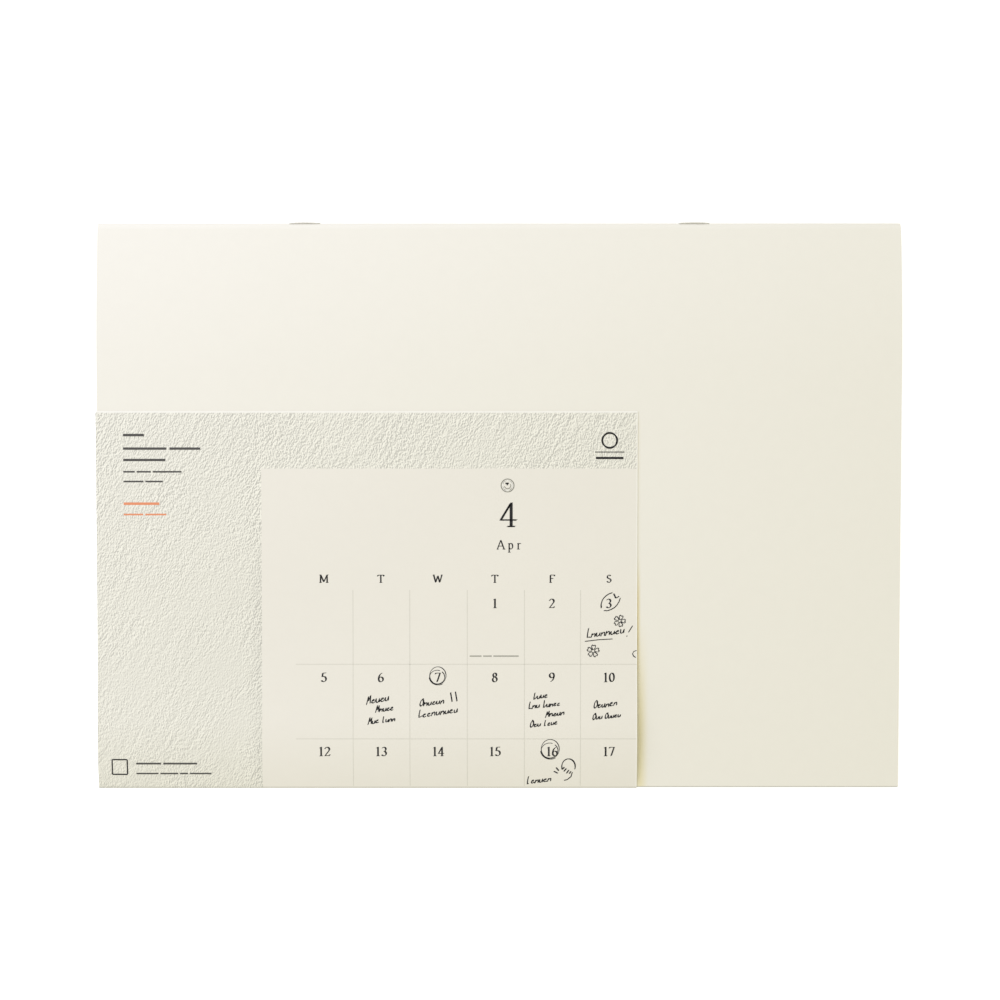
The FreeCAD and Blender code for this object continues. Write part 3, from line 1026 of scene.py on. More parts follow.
def make_sheet(name: str, line: Sequence[Place], left: float, right: float, thickness: float,
               materials: Sequence[Material], columns: int = 1) -> Piece:
    """Make a sheet of paper by pulling its line across the booklet and giving it its thickness.

    Args:
        name: The sheet's name.
        line: The middle of the sheet in section.
        left: Where its left edge lies.
        right: Where its right edge lies.
        thickness: The paper's thickness in millimetres.
        materials: The outer face, the inner face and the cut edge.
        columns: How many steps it is pulled in.

    Returns:
        The finished sheet.
    """
    path = [in_frame(left, along, height) for along, height in line]
    sheet = Bench.start(name, path[0])
    Bench.pull_along(path)
    Bench.pull_wide(Vector(((right - left) * MM / columns, 0, 0)), columns)
    Bench.close()
    low = min(range(len(sheet.data.polygons)), key=lambda number: sheet.data.polygons[number].center.z)
    if sheet.data.polygons[low].normal.z > 0:
        Bench.face_up(sheet, lambda face: False)
    for material in materials:
        sheet.data.materials.append(material)
    Bench.finish_with(sheet, "SOLIDIFY", thickness=thickness * MM, offset=0.0, use_even_offset=True,
                      use_quality_normals=True, material_offset=1, material_offset_rim=2)
    Bench.smooth(sheet)
    return sheet


# ---------------------------------------------------------------------------------------------
# The booklet
# ---------------------------------------------------------------------------------------------


@dataclass
class CoverSheet:
    """The heavier outer sheet, folded once round the stack."""

    shape: FoldShape
    face: Material
    edge: Material
    width: float = 297.0
    thickness: float = 0.2

    def build(self) -> Piece:
        """Make the cover.

        Returns:
            The cover.
        """
        half = self.width / 2
        line = self.shape.section(self.thickness / 2)
        cover = make_sheet("cover", line, -half, half, self.thickness, (self.face, self.face, self.edge), 6)
        Bench.hand_over(cover, "cover_sheet", Slot.COVER)
        return cover


@dataclass
class MonthLeaves:
    """The folded inner leaves, flat below and fanned out under the arched cover."""

    shape: FoldShape
    face: Material
    edge: Material
    width: float = 297.0
    count: int = 14
    pitch: float = 0.12
    thickness: float = 0.085
    first_inset: float = 0.25
    end_play: float = 0.09
    side_play: float = 0.22
    seed: int = 7

    def spreads(self) -> list[float]:
        """Give each leaf's share of the free gap, from the cover inwards.

        Returns:
            The shares, from 0 to 1.
        """
        chance = random.Random(self.seed)
        steps = [0.0] + [0.45 + chance.random() for _ in range(self.count - 1)]
        total = sum(steps)
        return [sum(steps[: number + 1]) / total for number in range(self.count)]

    def build(self) -> Piece:
        """Make the leaves and join them.

        Returns:
            The stack of leaves.
        """
        chance = random.Random(self.seed + 1)
        leaves = []
        for number, spread in enumerate(self.spreads()):
            inset = self.first_inset + self.pitch * (number + 0.5)
            line = self.shape.section(inset, spread, self.end_play * chance.random())
            left = -self.width / 2 + self.side_play * chance.random()
            right = self.width / 2 - self.side_play * chance.random()
            materials = (self.face, self.face, self.edge)
            leaves.append(make_sheet(f"leaf_{number + 1}", line, left, right, self.thickness, materials))
        stack = Bench.join(leaves, "leaves")
        Bench.hand_over(stack, "page_block", Slot.LEAVES)
        return stack


@dataclass
class Staple:
    """A wire staple through the fold, its legs clinched inside."""

    SIDES = 14
    CROWN_STEPS = 12
    BEND_STEP = 0.14

    shape: FoldShape
    wire: Material
    middle: float
    node: str
    crown: float = 12.0
    diameter: float = 0.6
    clinch: float = 4.6
    bend: float = 0.4
    bow: float = 0.16
    tilt: float = 28.0
    clearance: float = 0.05

    def path(self) -> list[Place]:
        """Give the wire's line in its own plane: along the fold, and out from the middle of the fold's round.

        Returns:
            The points, from one clinched end to the other.
        """
        leg = (self.crown - self.diameter) / 2
        outer = self.shape.nose_radius + self.clearance + self.diameter / 2
        inner = self.shape.nose_radius - self.shape.wall - self.clearance - self.diameter / 2
        tip, bend = leg - self.clinch, self.bend
        places = [(leg - bend) * (2 * part / self.CROWN_STEPS - 1) for part in range(1, self.CROWN_STEPS)]
        crown = [(place, outer - self.bow * (place / (leg - bend)) ** 2) for place in places]
        half = along_once(
            [(tip, inner)],
            arc((leg - bend, inner + bend), bend, -math.pi / 2, 0, self.BEND_STEP),
            arc((leg - bend, outer - self.bow - bend), bend, 0, math.pi / 2, self.BEND_STEP),
        )
        other = [(-place, out) for place, out in reversed(half)]
        return along_once(half, list(reversed(crown)), other)

    def build(self) -> Piece:
        """Make the wire by pulling a round section along its line.

        Returns:
            The staple.
        """
        turn = math.radians(self.tilt)
        out = Vector((0, math.cos(turn), math.sin(turn)))
        axis = Vector((0, -math.sin(turn), math.cos(turn)))
        centre = in_frame(self.middle, self.shape.nose_place, self.shape.nose_height)
        path = [centre + Vector((across * MM, 0, 0)) + out * reach * MM for across, reach in self.path()]
        Bench.clear()
        radius = self.diameter / 2 * MM
        bpy.ops.mesh.primitive_circle_add(vertices=self.SIDES, radius=radius, fill_type="NGON", location=(0, 0, 0))
        wire = bpy.context.active_object
        steps = [there - here for here, there in zip(path, path[1:])]
        headings = [step.normalized() for step in steps]
        wire.data.transform(Vector((0, 0, 1)).rotation_difference(headings[0]).to_matrix().to_4x4())
        bpy.ops.object.mode_set(mode="EDIT")
        bpy.ops.mesh.select_all(action="SELECT")
        bpy.ops.transform.translate(value=path[0])
        for step, before, after, place in zip(steps, headings, headings[1:] + headings[-1:], path[1:]):
            Bench.pull(step)
            self.swing(axis, before, after, place)
        bpy.ops.mesh.select_all(action="SELECT")
        bpy.ops.mesh.remove_doubles(threshold=1e-6)
        bpy.ops.mesh.normals_make_consistent(inside=False)
        Bench.close()
        wire.data.materials.append(self.wire)
        Bench.smooth(wire, 50)
        wire.name = self.node + "_wire"
        Bench.hand_over(wire, self.node, Slot.STAPLE)
        return wire

    @staticmethod
    def swing(axis: Vector, before: Vector, after: Vector, centre: Vector) -> None:
        """Turn the section's end about the staple's own axis as the wire bends.

        Args:
            axis: The axis, square to the wire's own plane.
            before: The wire's heading before the bend.
            after: Its heading after the bend.
            centre: The place of the bend.
        """
        angle = math.atan2(axis.dot(before.cross(after)), before.dot(after))
        if abs(angle) < 1e-5:
            return
        matrix = Matrix((before, axis.cross(before), axis)).transposed()
        bpy.ops.transform.rotate(value=-angle, orient_axis="Z", orient_type="GLOBAL", orient_matrix=matrix,
                                 orient_matrix_type="GLOBAL", center_override=centre)


# ---------------------------------------------------------------------------------------------
# The band
# ---------------------------------------------------------------------------------------------


@dataclass
class LabelBand:
    """The printed paper band, folded round the whole free edge and open at both its ends."""

    shape: FoldShape
    printed: Material
    plain: Material
    edge: Material
    left: float = -149.0
    right: float = 51.15
    thickness: float = 0.2
    gap: float = 0.05
    end: float = 35.1
    wrap_gap: float = 0.15
    fold_radius: float = 0.2
    fold_height: float = 4.11
    back_height: float = 0.35
    lift_length: float = 72.0
    landing_radius: float = 616.0
    hump_radius: float = 86.0

    def section(self) -> list[Place]:
        """Give the middle of the band in section, from its end on the cover round to its end at the back.

        Returns:
            The points of the line.
        """
        half = self.thickness / 2
        shape, slope = self.shape, self.shape.taper
        landing, hump, fold = self.landing_radius - half, self.hump_radius + half, self.fold_radius + half

        def front(place: float) -> Place:
            """Give a place on the band's flat front."""
            return place, shape.top(place) + (self.gap + half) / math.cos(slope)

        lift = front(self.lift_length - shape.half_depth)
        landing_at = (lift[0] - landing * math.sin(slope), lift[1] + landing * math.cos(slope))
        fold_at = (-shape.half_depth - self.wrap_gap + fold - half, self.fold_height)
        back_at = (fold_at[0], self.thickness - half + fold)
        reach, inside = landing + hump, hump - fold
        span = math.dist(landing_at, fold_at)
        bearing = math.atan2(fold_at[1] - landing_at[1], fold_at[0] - landing_at[0])
        turn = bearing + math.acos((reach**2 + span**2 - inside**2) / (2 * reach * span))
        hump_at = (landing_at[0] + reach * math.cos(turn), landing_at[1] + reach * math.sin(turn))
        fold_turn = math.atan2(fold_at[1] - hump_at[1], fold_at[0] - hump_at[0])
        touch = turn % (2 * math.pi)
        return along_once(
            between(front(self.end), lift, 4),
            arc(landing_at, landing, 1.5 * math.pi + slope, touch, 1.6),
            arc(hump_at, hump, touch - math.pi, fold_turn, 0.8),
            arc(fold_at, fold, fold_turn, math.pi, 0.06),
            between((fold_at[0] - fold, fold_at[1]), (back_at[0] - fold, back_at[1]), 0.5),
            arc(back_at, fold, math.pi, 1.5 * math.pi, 0.06),
            between((back_at[0], back_at[1] - fold), (self.end, back_at[1] - fold), 20),
        )

    def build(self) -> Piece:
        """Make the band.

        Returns:
            The band.
        """
        line = list(reversed(self.section()))
        materials = (self.printed, self.plain, self.edge)
        band = make_sheet("band", line, self.left, self.right, self.thickness, materials, 5)
        back = self.back_height * MM
        Bench.select_faces(band, lambda face: face.center.z < back and face.material_index == 0)
        band.active_material_index = 1
        bpy.ops.object.material_slot_assign()
        Bench.close()
        Bench.hand_over(band, "label_band", Slot.BAND)
        return band


# ---------------------------------------------------------------------------------------------
# The print
# ---------------------------------------------------------------------------------------------


class Sign(Enum):
    """The figures and letters that are printed on the month sheet."""

    ZERO = "0"
    ONE = "1"
    TWO = "2"
    THREE = "3"
    FOUR = "4"
    FIVE = "5"
    SIX = "6"
    SEVEN = "7"
    EIGHT = "8"
    NINE = "9"
    M = "M"
    T = "T"
    W = "W"
    F = "F"
    S = "S"
    A = "A"
    P = "p"
    R = "r"


def bowl(across: float, up: float, wide: float, high: float, start: float, end: float, count: int = 14) -> list[Place]:
    """Give part of an oval stroke.

    Args:
        across: The oval's middle across.
        up: Its middle upwards.
        wide: Half its width.
        high: Half its height.
        start: The angle that the stroke starts at, in degrees.
        end: The angle that it ends at, in degrees.
        count: The number of steps.

    Returns:
        The points, both ends included.
    """
    turns = (math.radians(start + (end - start) * part / count) for part in range(count + 1))
    return [(across + wide * math.cos(turn), up + high * math.sin(turn)) for turn in turns]


def serif(left: float, right: float, up: float = 0.02) -> list[Place]:
    """Give the short level stroke at a stem's end."""
    return [(left, up), (right, up)]


STROKES: dict[Sign, Strokes] = {
    Sign.ZERO: [bowl(0.28, 0.5, 0.2, 0.46, 90, 450, 24)],
    Sign.ONE: [[(0.3, 0.03), (0.3, 0.97), (0.17, 0.86)], serif(0.17, 0.43)],
    Sign.TWO: [bowl(0.27, 0.72, 0.2, 0.24, 165, -35) + [(0.08, 0.04), (0.47, 0.04), (0.49, 0.16)]],
    Sign.THREE: [bowl(0.27, 0.74, 0.17, 0.22, 150, -80, 12), bowl(0.26, 0.27, 0.21, 0.25, 85, -150)],
    Sign.FOUR: [[(0.38, 0.97), (0.06, 0.28), (0.54, 0.28)], [(0.38, 0.97), (0.38, 0.03)], serif(0.27, 0.49)],
    Sign.FIVE: [[(0.46, 0.97), (0.17, 0.95), (0.13, 0.56)], bowl(0.25, 0.31, 0.22, 0.28, 120, -150, 16)],
    Sign.SIX: [bowl(0.47, 0.33, 0.39, 0.63, 100, 180, 9), bowl(0.28, 0.28, 0.2, 0.26, 180, 540, 22)],
    Sign.SEVEN: [[(0.08, 0.84), (0.09, 0.95), (0.49, 0.95), (0.22, 0.02)]],
    Sign.EIGHT: [bowl(0.28, 0.75, 0.15, 0.21, 90, 450, 20), bowl(0.28, 0.27, 0.19, 0.26, 90, 450, 22)],
    Sign.NINE: [bowl(0.28, 0.71, 0.2, 0.26, 0, 360, 22), bowl(0.09, 0.67, 0.39, 0.63, -80, 0, 9)],
    Sign.M: [[(0.12, 0.02), (0.14, 0.97), (0.47, 0.1), (0.8, 0.97), (0.82, 0.02)], serif(0.02, 0.23),
             serif(0.71, 0.93), serif(0.02, 0.16, 0.97), serif(0.78, 0.93, 0.97)],
    Sign.T: [[(0.04, 0.8), (0.06, 0.95), (0.66, 0.95), (0.68, 0.8)], [(0.36, 0.95), (0.36, 0.03)], serif(0.24, 0.48)],
    Sign.W: [[(0.06, 0.97), (0.28, 0.04), (0.49, 0.86), (0.7, 0.04), (0.92, 0.97)], serif(0.0, 0.16, 0.97),
             serif(0.83, 0.99, 0.97)],
    Sign.F: [[(0.14, 0.03), (0.14, 0.96), (0.56, 0.96), (0.57, 0.82)], serif(0.14, 0.44, 0.52), serif(0.04, 0.27)],
    Sign.S: [bowl(0.29, 0.74, 0.18, 0.22, 30, 240) + bowl(0.28, 0.27, 0.2, 0.24, 70, -160)],
    Sign.A: [[(0.06, 0.02), (0.38, 0.97), (0.7, 0.02)], serif(0.18, 0.58, 0.34), serif(0.0, 0.18), serif(0.56, 0.8)],
    Sign.P: [[(0.0, 0.6), (0.1, 0.64), (0.1, -0.3)], bowl(0.26, 0.33, 0.17, 0.31, 150, -150, 16),
             serif(0.0, 0.22, -0.31)],
    Sign.R: [[(0.0, 0.6), (0.1, 0.64), (0.1, 0.03)], bowl(0.26, 0.42, 0.16, 0.2, 165, 60, 6), serif(0.0, 0.24)],
}
WIDTHS: dict[Sign, float] = {Sign.M: 0.94, Sign.T: 0.72, Sign.W: 0.98, Sign.F: 0.6, Sign.S: 0.56}
FIGURE_WIDTH = 0.58


@dataclass(frozen=True)
class Nib:
    """A pen's tip: its length and thickness in millimetres, and its slant in degrees."""

    broad: float
    fine: float
    slant: float = 20.0

    def edges(self) -> tuple[Vector, Vector]:
        """Give the tip's long edge and its short one."""
        along = Vector((math.cos(math.radians(self.slant)), math.sin(math.radians(self.slant)), 0))
        return along * self.broad * MM, Vector((-along.y, along.x, 0)) * self.fine * MM


FIGURE_NIB = Nib(1.22, 0.54)
NAME_NIB = Nib(0.5, 0.26)
HEAD_NIB = Nib(0.58, 0.26)
DATE_NIB = Nib(0.68, 0.25)
RING_NIB = Nib(0.74, 0.74, 0)
SQUARE_NIB = Nib(0.5, 0.5, 0)
UPRIGHT_RULE_NIB = Nib(0.24, 0.1, 0)
LEVEL_RULE_NIB = Nib(0.1, 0.24, 0)
PIN_DISC_NIB = Nib(0.46, 0.46, 0)
PIN_RIM_NIB = Nib(0.4, 0.4, 0)
PIN_CORE_NIB = Nib(0.34, 0.34, 0)
OPEN_LOOP_NIB = Nib(0.56, 0.36, 35)
DATE_LOOP_NIB = Nib(0.33, 0.22, 35)
SCRAWL_NIB = Nib(0.54, 0.3, 35)
STROKE_NIB = Nib(0.54, 0.36, 35)
DASH_NIB = Nib(0.8, 0.5, 35)
PETAL_NIB = Nib(0.38, 0.28, 35)


@dataclass
class Pen:
    """A broad nib that lays strokes of ink on a flat sheet, which is then pressed onto the band."""

    name: str
    ink: Material
    pieces: list[Piece] = field(default_factory=list)

    LIFT = 30.0
    STEP = 1.1

    def lines(self, strokes: Sequence[Sequence[Place]], nib: Nib) -> None:
        """Draw strokes, given in the band's own millimetres.

        Args:
            strokes: The lines to draw.
            nib: The pen's tip.
        """
        mesh = None
        for stroke in strokes:
            steps = along_once(*(between(here, there, self.STEP) for here, there in zip(stroke, stroke[1:])))
            path = [Vector((across * MM, along * MM, self.LIFT * MM)) for across, along in steps]
            for edge in nib.edges():
                if mesh is None:
                    mesh = Bench.start(self.name, path[0] - edge / 2)
                else:
                    Bench.start_again(path[0] - edge / 2)
                Bench.pull(edge)
                bpy.ops.mesh.select_linked()
                Bench.pull_along(path)
        Bench.close()
        self.pieces.append(mesh)

    def bars(self, boxes: Sequence[Box]) -> None:
        """Print upright bars.

        Args:
            boxes: Each bar's middle, width and height in the band's millimetres.
        """
        Bench.clear()
        for number, (across, along, wide, high) in enumerate(boxes):
            if number:
                bpy.ops.mesh.select_all(action="DESELECT")
            bpy.ops.mesh.primitive_plane_add(size=MM, location=(0, 0, 0))
            if not number:
                bpy.ops.object.mode_set(mode="EDIT")
            bpy.ops.transform.resize(value=(wide, high, 1), center_override=(0, 0, 0))
            bpy.ops.transform.translate(value=(across * MM, along * MM, self.LIFT * MM))
        self.pieces.append(Bench.close())

    def sign(self, sign: Sign, corner: Place, wide: float, high: float, nib: Nib) -> None:
        """Draw one figure or letter.

        Args:
            sign: What to draw.
            corner: Its lower left corner.
            wide: Scale across.
            high: Its height.
            nib: The pen's tip.
        """
        left, foot = corner
        self.lines([[(left + wide * across, foot + high * up) for across, up in line] for line in STROKES[sign]], nib)

    def number(self, value: int, middle: Place, high: float, nib: Nib, widen: float) -> None:
        """Draw a whole number.

        Args:
            value: The number.
            middle: Its middle.
            high: Its height.
            nib: The pen's tip.
            widen: How much wider than tall its figures are scaled.
        """
        signs = [Sign(digit) for digit in str(value)]
        wide = high * widen
        left = middle[0] - FIGURE_WIDTH * wide * len(signs) / 2
        for place, sign in enumerate(signs):
            self.sign(sign, (left + FIGURE_WIDTH * wide * place, middle[1] - high / 2), wide, high, nib)

    def press(self, band: Piece, stand_off: float) -> Piece:
        """Join the ink and lay it on the band.

        Args:
            band: The band it is printed on.
            stand_off: How far it stands above the paper, in millimetres.

        Returns:
            The ink as one piece.
        """
        ink = Bench.join(self.pieces, self.name)
        Bench.finish_with(ink, "SHRINKWRAP", wrap_method="PROJECT", target=band, use_project_z=True,
                          use_negative_direction=True, use_positive_direction=False, offset=stand_off * MM)
        Bench.face_up(ink, lambda face: face.normal.z > 0)
        ink.data.materials.clear()
        ink.data.materials.append(self.ink)
        Bench.hand_over(ink, "label_band", Slot.BAND)
        return ink


@dataclass(frozen=True)
class TypeLine:
    """A line of small type, with a plain bar in place of each word."""

    left: float
    along: float
    high: float
    lengths: tuple[float, ...]

    BAR_SHARE = 0.4
    DROP_SHARE = 0.06
    SPACE_SHARE = 0.5

    def bars(self) -> list[Box]:
        """Give the line's bars.

        Returns:
            Each bar's middle, width and height.
        """
        bars, cursor = [], self.left
        for length in self.lengths:
            middle = (cursor + length / 2, self.along - self.high * self.DROP_SHARE)
            bars.append((*middle, length, self.high * self.BAR_SHARE))
            cursor += length + self.high * self.SPACE_SHARE
        return bars


LOW = 0.44
ARCH = [(0.05, 0.0), (0.1, LOW), (0.2, LOW * 0.5), (0.5, LOW), (0.72, LOW * 0.8), (0.78, 0.02)]
CUP = [(0.05, LOW), (0.12, 0.08), (0.38, 0.0), (0.62, 0.16), (0.74, LOW), (0.78, 0.04)]
HOOK = [(0.1, LOW * 0.55), (0.62, LOW * 0.7), (0.5, LOW), (0.2, LOW * 0.86), (0.12, LOW * 0.3), (0.4, 0.0), (0.8, 0.1)]
STEM = [(0.2, 1.0), (0.16, 0.4), (0.22, 0.02), (0.5, 0.06)]
LOOP = [(0.8, 0.86), (0.5, 1.02), (0.12, 0.72), (0.06, 0.26), (0.34, 0.0), (0.74, 0.2), (0.88, 0.62), (0.6, 0.94)]
PEAKS = [(0.0, -0.04), (0.2, 0.96), (0.42, 0.34), (0.7, 0.98), (0.8, 0.06)]


@dataclass(frozen=True)
class Scrawl:
    """A quick scrawl that stands for one handwritten word and spells nothing: sizes in millimetres, rise in degrees."""

    left: float
    base: float
    length: float
    high: float
    rise: float

    CELL_SHARE = 0.56
    TALL_CHANCE = 0.16
    BREAK_CHANCE = 0.3
    LEAN = 0.3

    def strokes(self, chance: random.Random) -> Strokes:
        """Give the strokes of the scrawl: arches, cups, hooks and tall strokes in a row.

        Args:
            chance: The source of small differences.

        Returns:
            The strokes.
        """
        count = max(2, round(self.length / (self.high * self.CELL_SHARE)))
        wide = self.length / count
        cosine, sine = math.cos(math.radians(self.rise)), math.sin(math.radians(self.rise))
        strokes: Strokes = [[]]
        for cell in range(count):
            tall = cell == 0 or (chance.random() < self.TALL_CHANCE and cell < count - 3)
            shape = chance.choice((STEM, LOOP, PEAKS) if cell == 0 else (STEM,) if tall else (ARCH, CUP, HOOK))
            if tall or chance.random() < self.BREAK_CHANCE:
                strokes.append([])
            jump = self.high * 0.06 * (chance.random() - 0.5)
            for share, up in shape:
                x = (cell + share) * wide + up * self.high * self.LEAN
                y = up * self.high * (0.88 + 0.24 * chance.random()) + jump
                strokes[-1].append((self.left + x * cosine - y * sine, self.base + x * sine + y * cosine))
        return [stroke for stroke in strokes if len(stroke) > 1]


@dataclass(frozen=True)
class Flower:
    """A small flower of five notched petals: its middle and size in millimetres, its turn in degrees."""

    across: float
    along: float
    size: float
    turn: float

    PETAL = ((0.2, 0.05), (0.5, 0.25), (0.8, 0.33), (1.0, 0.2), (0.84, 0.0),
             (1.0, -0.2), (0.8, -0.33), (0.5, -0.25), (0.2, -0.05))

    def strokes(self) -> Strokes:
        """Give the petals.

        Returns:
            One stroke for each petal.
        """
        petals = []
        for number in range(5):
            turned = Matrix.Rotation(math.radians(self.turn + 72 * number), 2)
            points = (turned @ Vector(point) * self.size for point in self.PETAL)
            petals.append([(self.across + point.x, self.along + point.y) for point in points])
        return petals


TITLE_LINES = (
    TypeLine(-138.6, 26.4, 2.3, (7.7,)),
    TypeLine(-138.6, 21.4, 2.2, (16.0, 11.4)),
    TypeLine(-138.6, 17.2, 2.2, (15.6,)),
    TypeLine(-138.6, 12.8, 1.5, (4.2, 5.2, 10.6)),
    TypeLine(-138.6, 9.2, 1.5, (7.4, 6.4)),
    TypeLine(-134.6, -95.6, 1.7, (9.2, 12.6)),
    TypeLine(-134.6, -99.4, 1.4, (8.2, 6.6, 3.0, 8.0)),
)
ORANGE_LINES = (TypeLine(-138.6, 1.05, 2.3, (13.2,)), TypeLine(-138.6, -3.0, 1.5, (7.2, 7.8)))
WEEK_LINE = TypeLine(-10.7, -55.6, 1.2, (4.4, 3.2, 9.4))
EMBLEM_RING = bowl(41.05, 24.3, 2.75, 2.75, 0, 360, 30)
EMBLEM_BARS = ((41.05, 20.0, 10.8, 0.34), (41.05, 17.8, 10.2, 0.85))
PIN_POINT = ((3.2, 8.42, 1.3, 0.56), (3.24, 7.93, 0.52, 0.4))
SQUARE = [(-143.5, -99.8), (-143.5, -94.2), (-137.9, -94.2), (-137.9, -99.8), (-143.5, -99.8)]
SCRAWLS = (
    Scrawl(32.5, -48.9, 14.4, 3.2, 7), Scrawl(-49.0, -73.6, 8.6, 3.2, 10), Scrawl(-45.6, -76.6, 6.8, 2.6, 8),
    Scrawl(-48.4, -81.0, 4.2, 2.6, 8), Scrawl(-43.2, -80.4, 5.0, 2.2, 8), Scrawl(-29.4, -74.4, 9.4, 2.9, 7),
    Scrawl(-29.9, -78.6, 15.0, 2.9, 8), Scrawl(12.8, -71.8, 5.6, 2.6, 8), Scrawl(11.0, -75.3, 4.4, 2.6, 7),
    Scrawl(16.4, -74.8, 6.6, 2.4, 7), Scrawl(17.4, -78.4, 7.2, 2.4, 8), Scrawl(11.6, -82.2, 4.2, 2.4, 8),
    Scrawl(16.8, -81.7, 5.2, 2.2, 8), Scrawl(35.2, -75.2, 9.0, 2.8, 8), Scrawl(34.8, -79.4, 3.8, 2.4, 8),
    Scrawl(39.4, -79.0, 6.0, 2.2, 8), Scrawl(10.4, -103.6, 9.4, 2.8, 8),
)
OPEN_LOOP = [
    [(39.1, -38.75), (40.5, -38.8), (41.8, -38.3), (43.0, -37.6), (43.9, -36.7), (44.7, -35.4), (45.1, -34.1)],
    [(44.7, -33.4), (44.1, -33.8), (43.4, -34.1), (43.1, -33.3), (42.7, -32.5)],
    [(42.2, -32.1), (41.0, -32.5), (39.9, -33.2), (38.9, -34.2), (38.3, -35.3), (38.0, -36.6), (38.1, -37.8)],
]
UNDERLINE = [
    [(32.1, -50.2), (37.0, -49.6), (42.2, -49.3)], [(49.7, -44.4), (48.2, -46.8)], [(47.7, -48.1), (47.5, -48.4)],
]
TWO_STEMS = [[(-17.8, -69.2), (-17.2, -72.6)], [(-16.0, -68.9), (-15.4, -72.4)]]
ROUND_DRAWING = [
    bowl(26.0, -96.8, 2.5, 2.9, 200, -20, 16), [(27.4, -99.0), (27.0, -100.6), (25.6, -101.8), (24.4, -102.1)],
    [(20.6, -98.6), (22.0, -99.4)], [(21.4, -97.2), (22.4, -98.4)],
]
# The middle and half height of the loops that are drawn round two dates.
DATE_LOOPS = ((-22.5, -62.9, 3.25), (19.2, -90.2, 3.6))
DASHES = [
    [(23.6, -97.9), (24.5, -97.1)], [(24.3, -98.6), (25.2, -97.6)],
    [(25.3, -99.3), (26.1, -98.2)], [(26.3, -99.5), (26.9, -98.7)],
]
FLOWERS = (Flower(44.9, -42.6, 2.2, 70), Flower(35.1, -53.8, 2.3, 85))
CUT_PETAL = [(51.2, -53.6), (50.2, -53.9), (49.7, -54.8), (50.1, -55.7), (50.9, -56.2)]


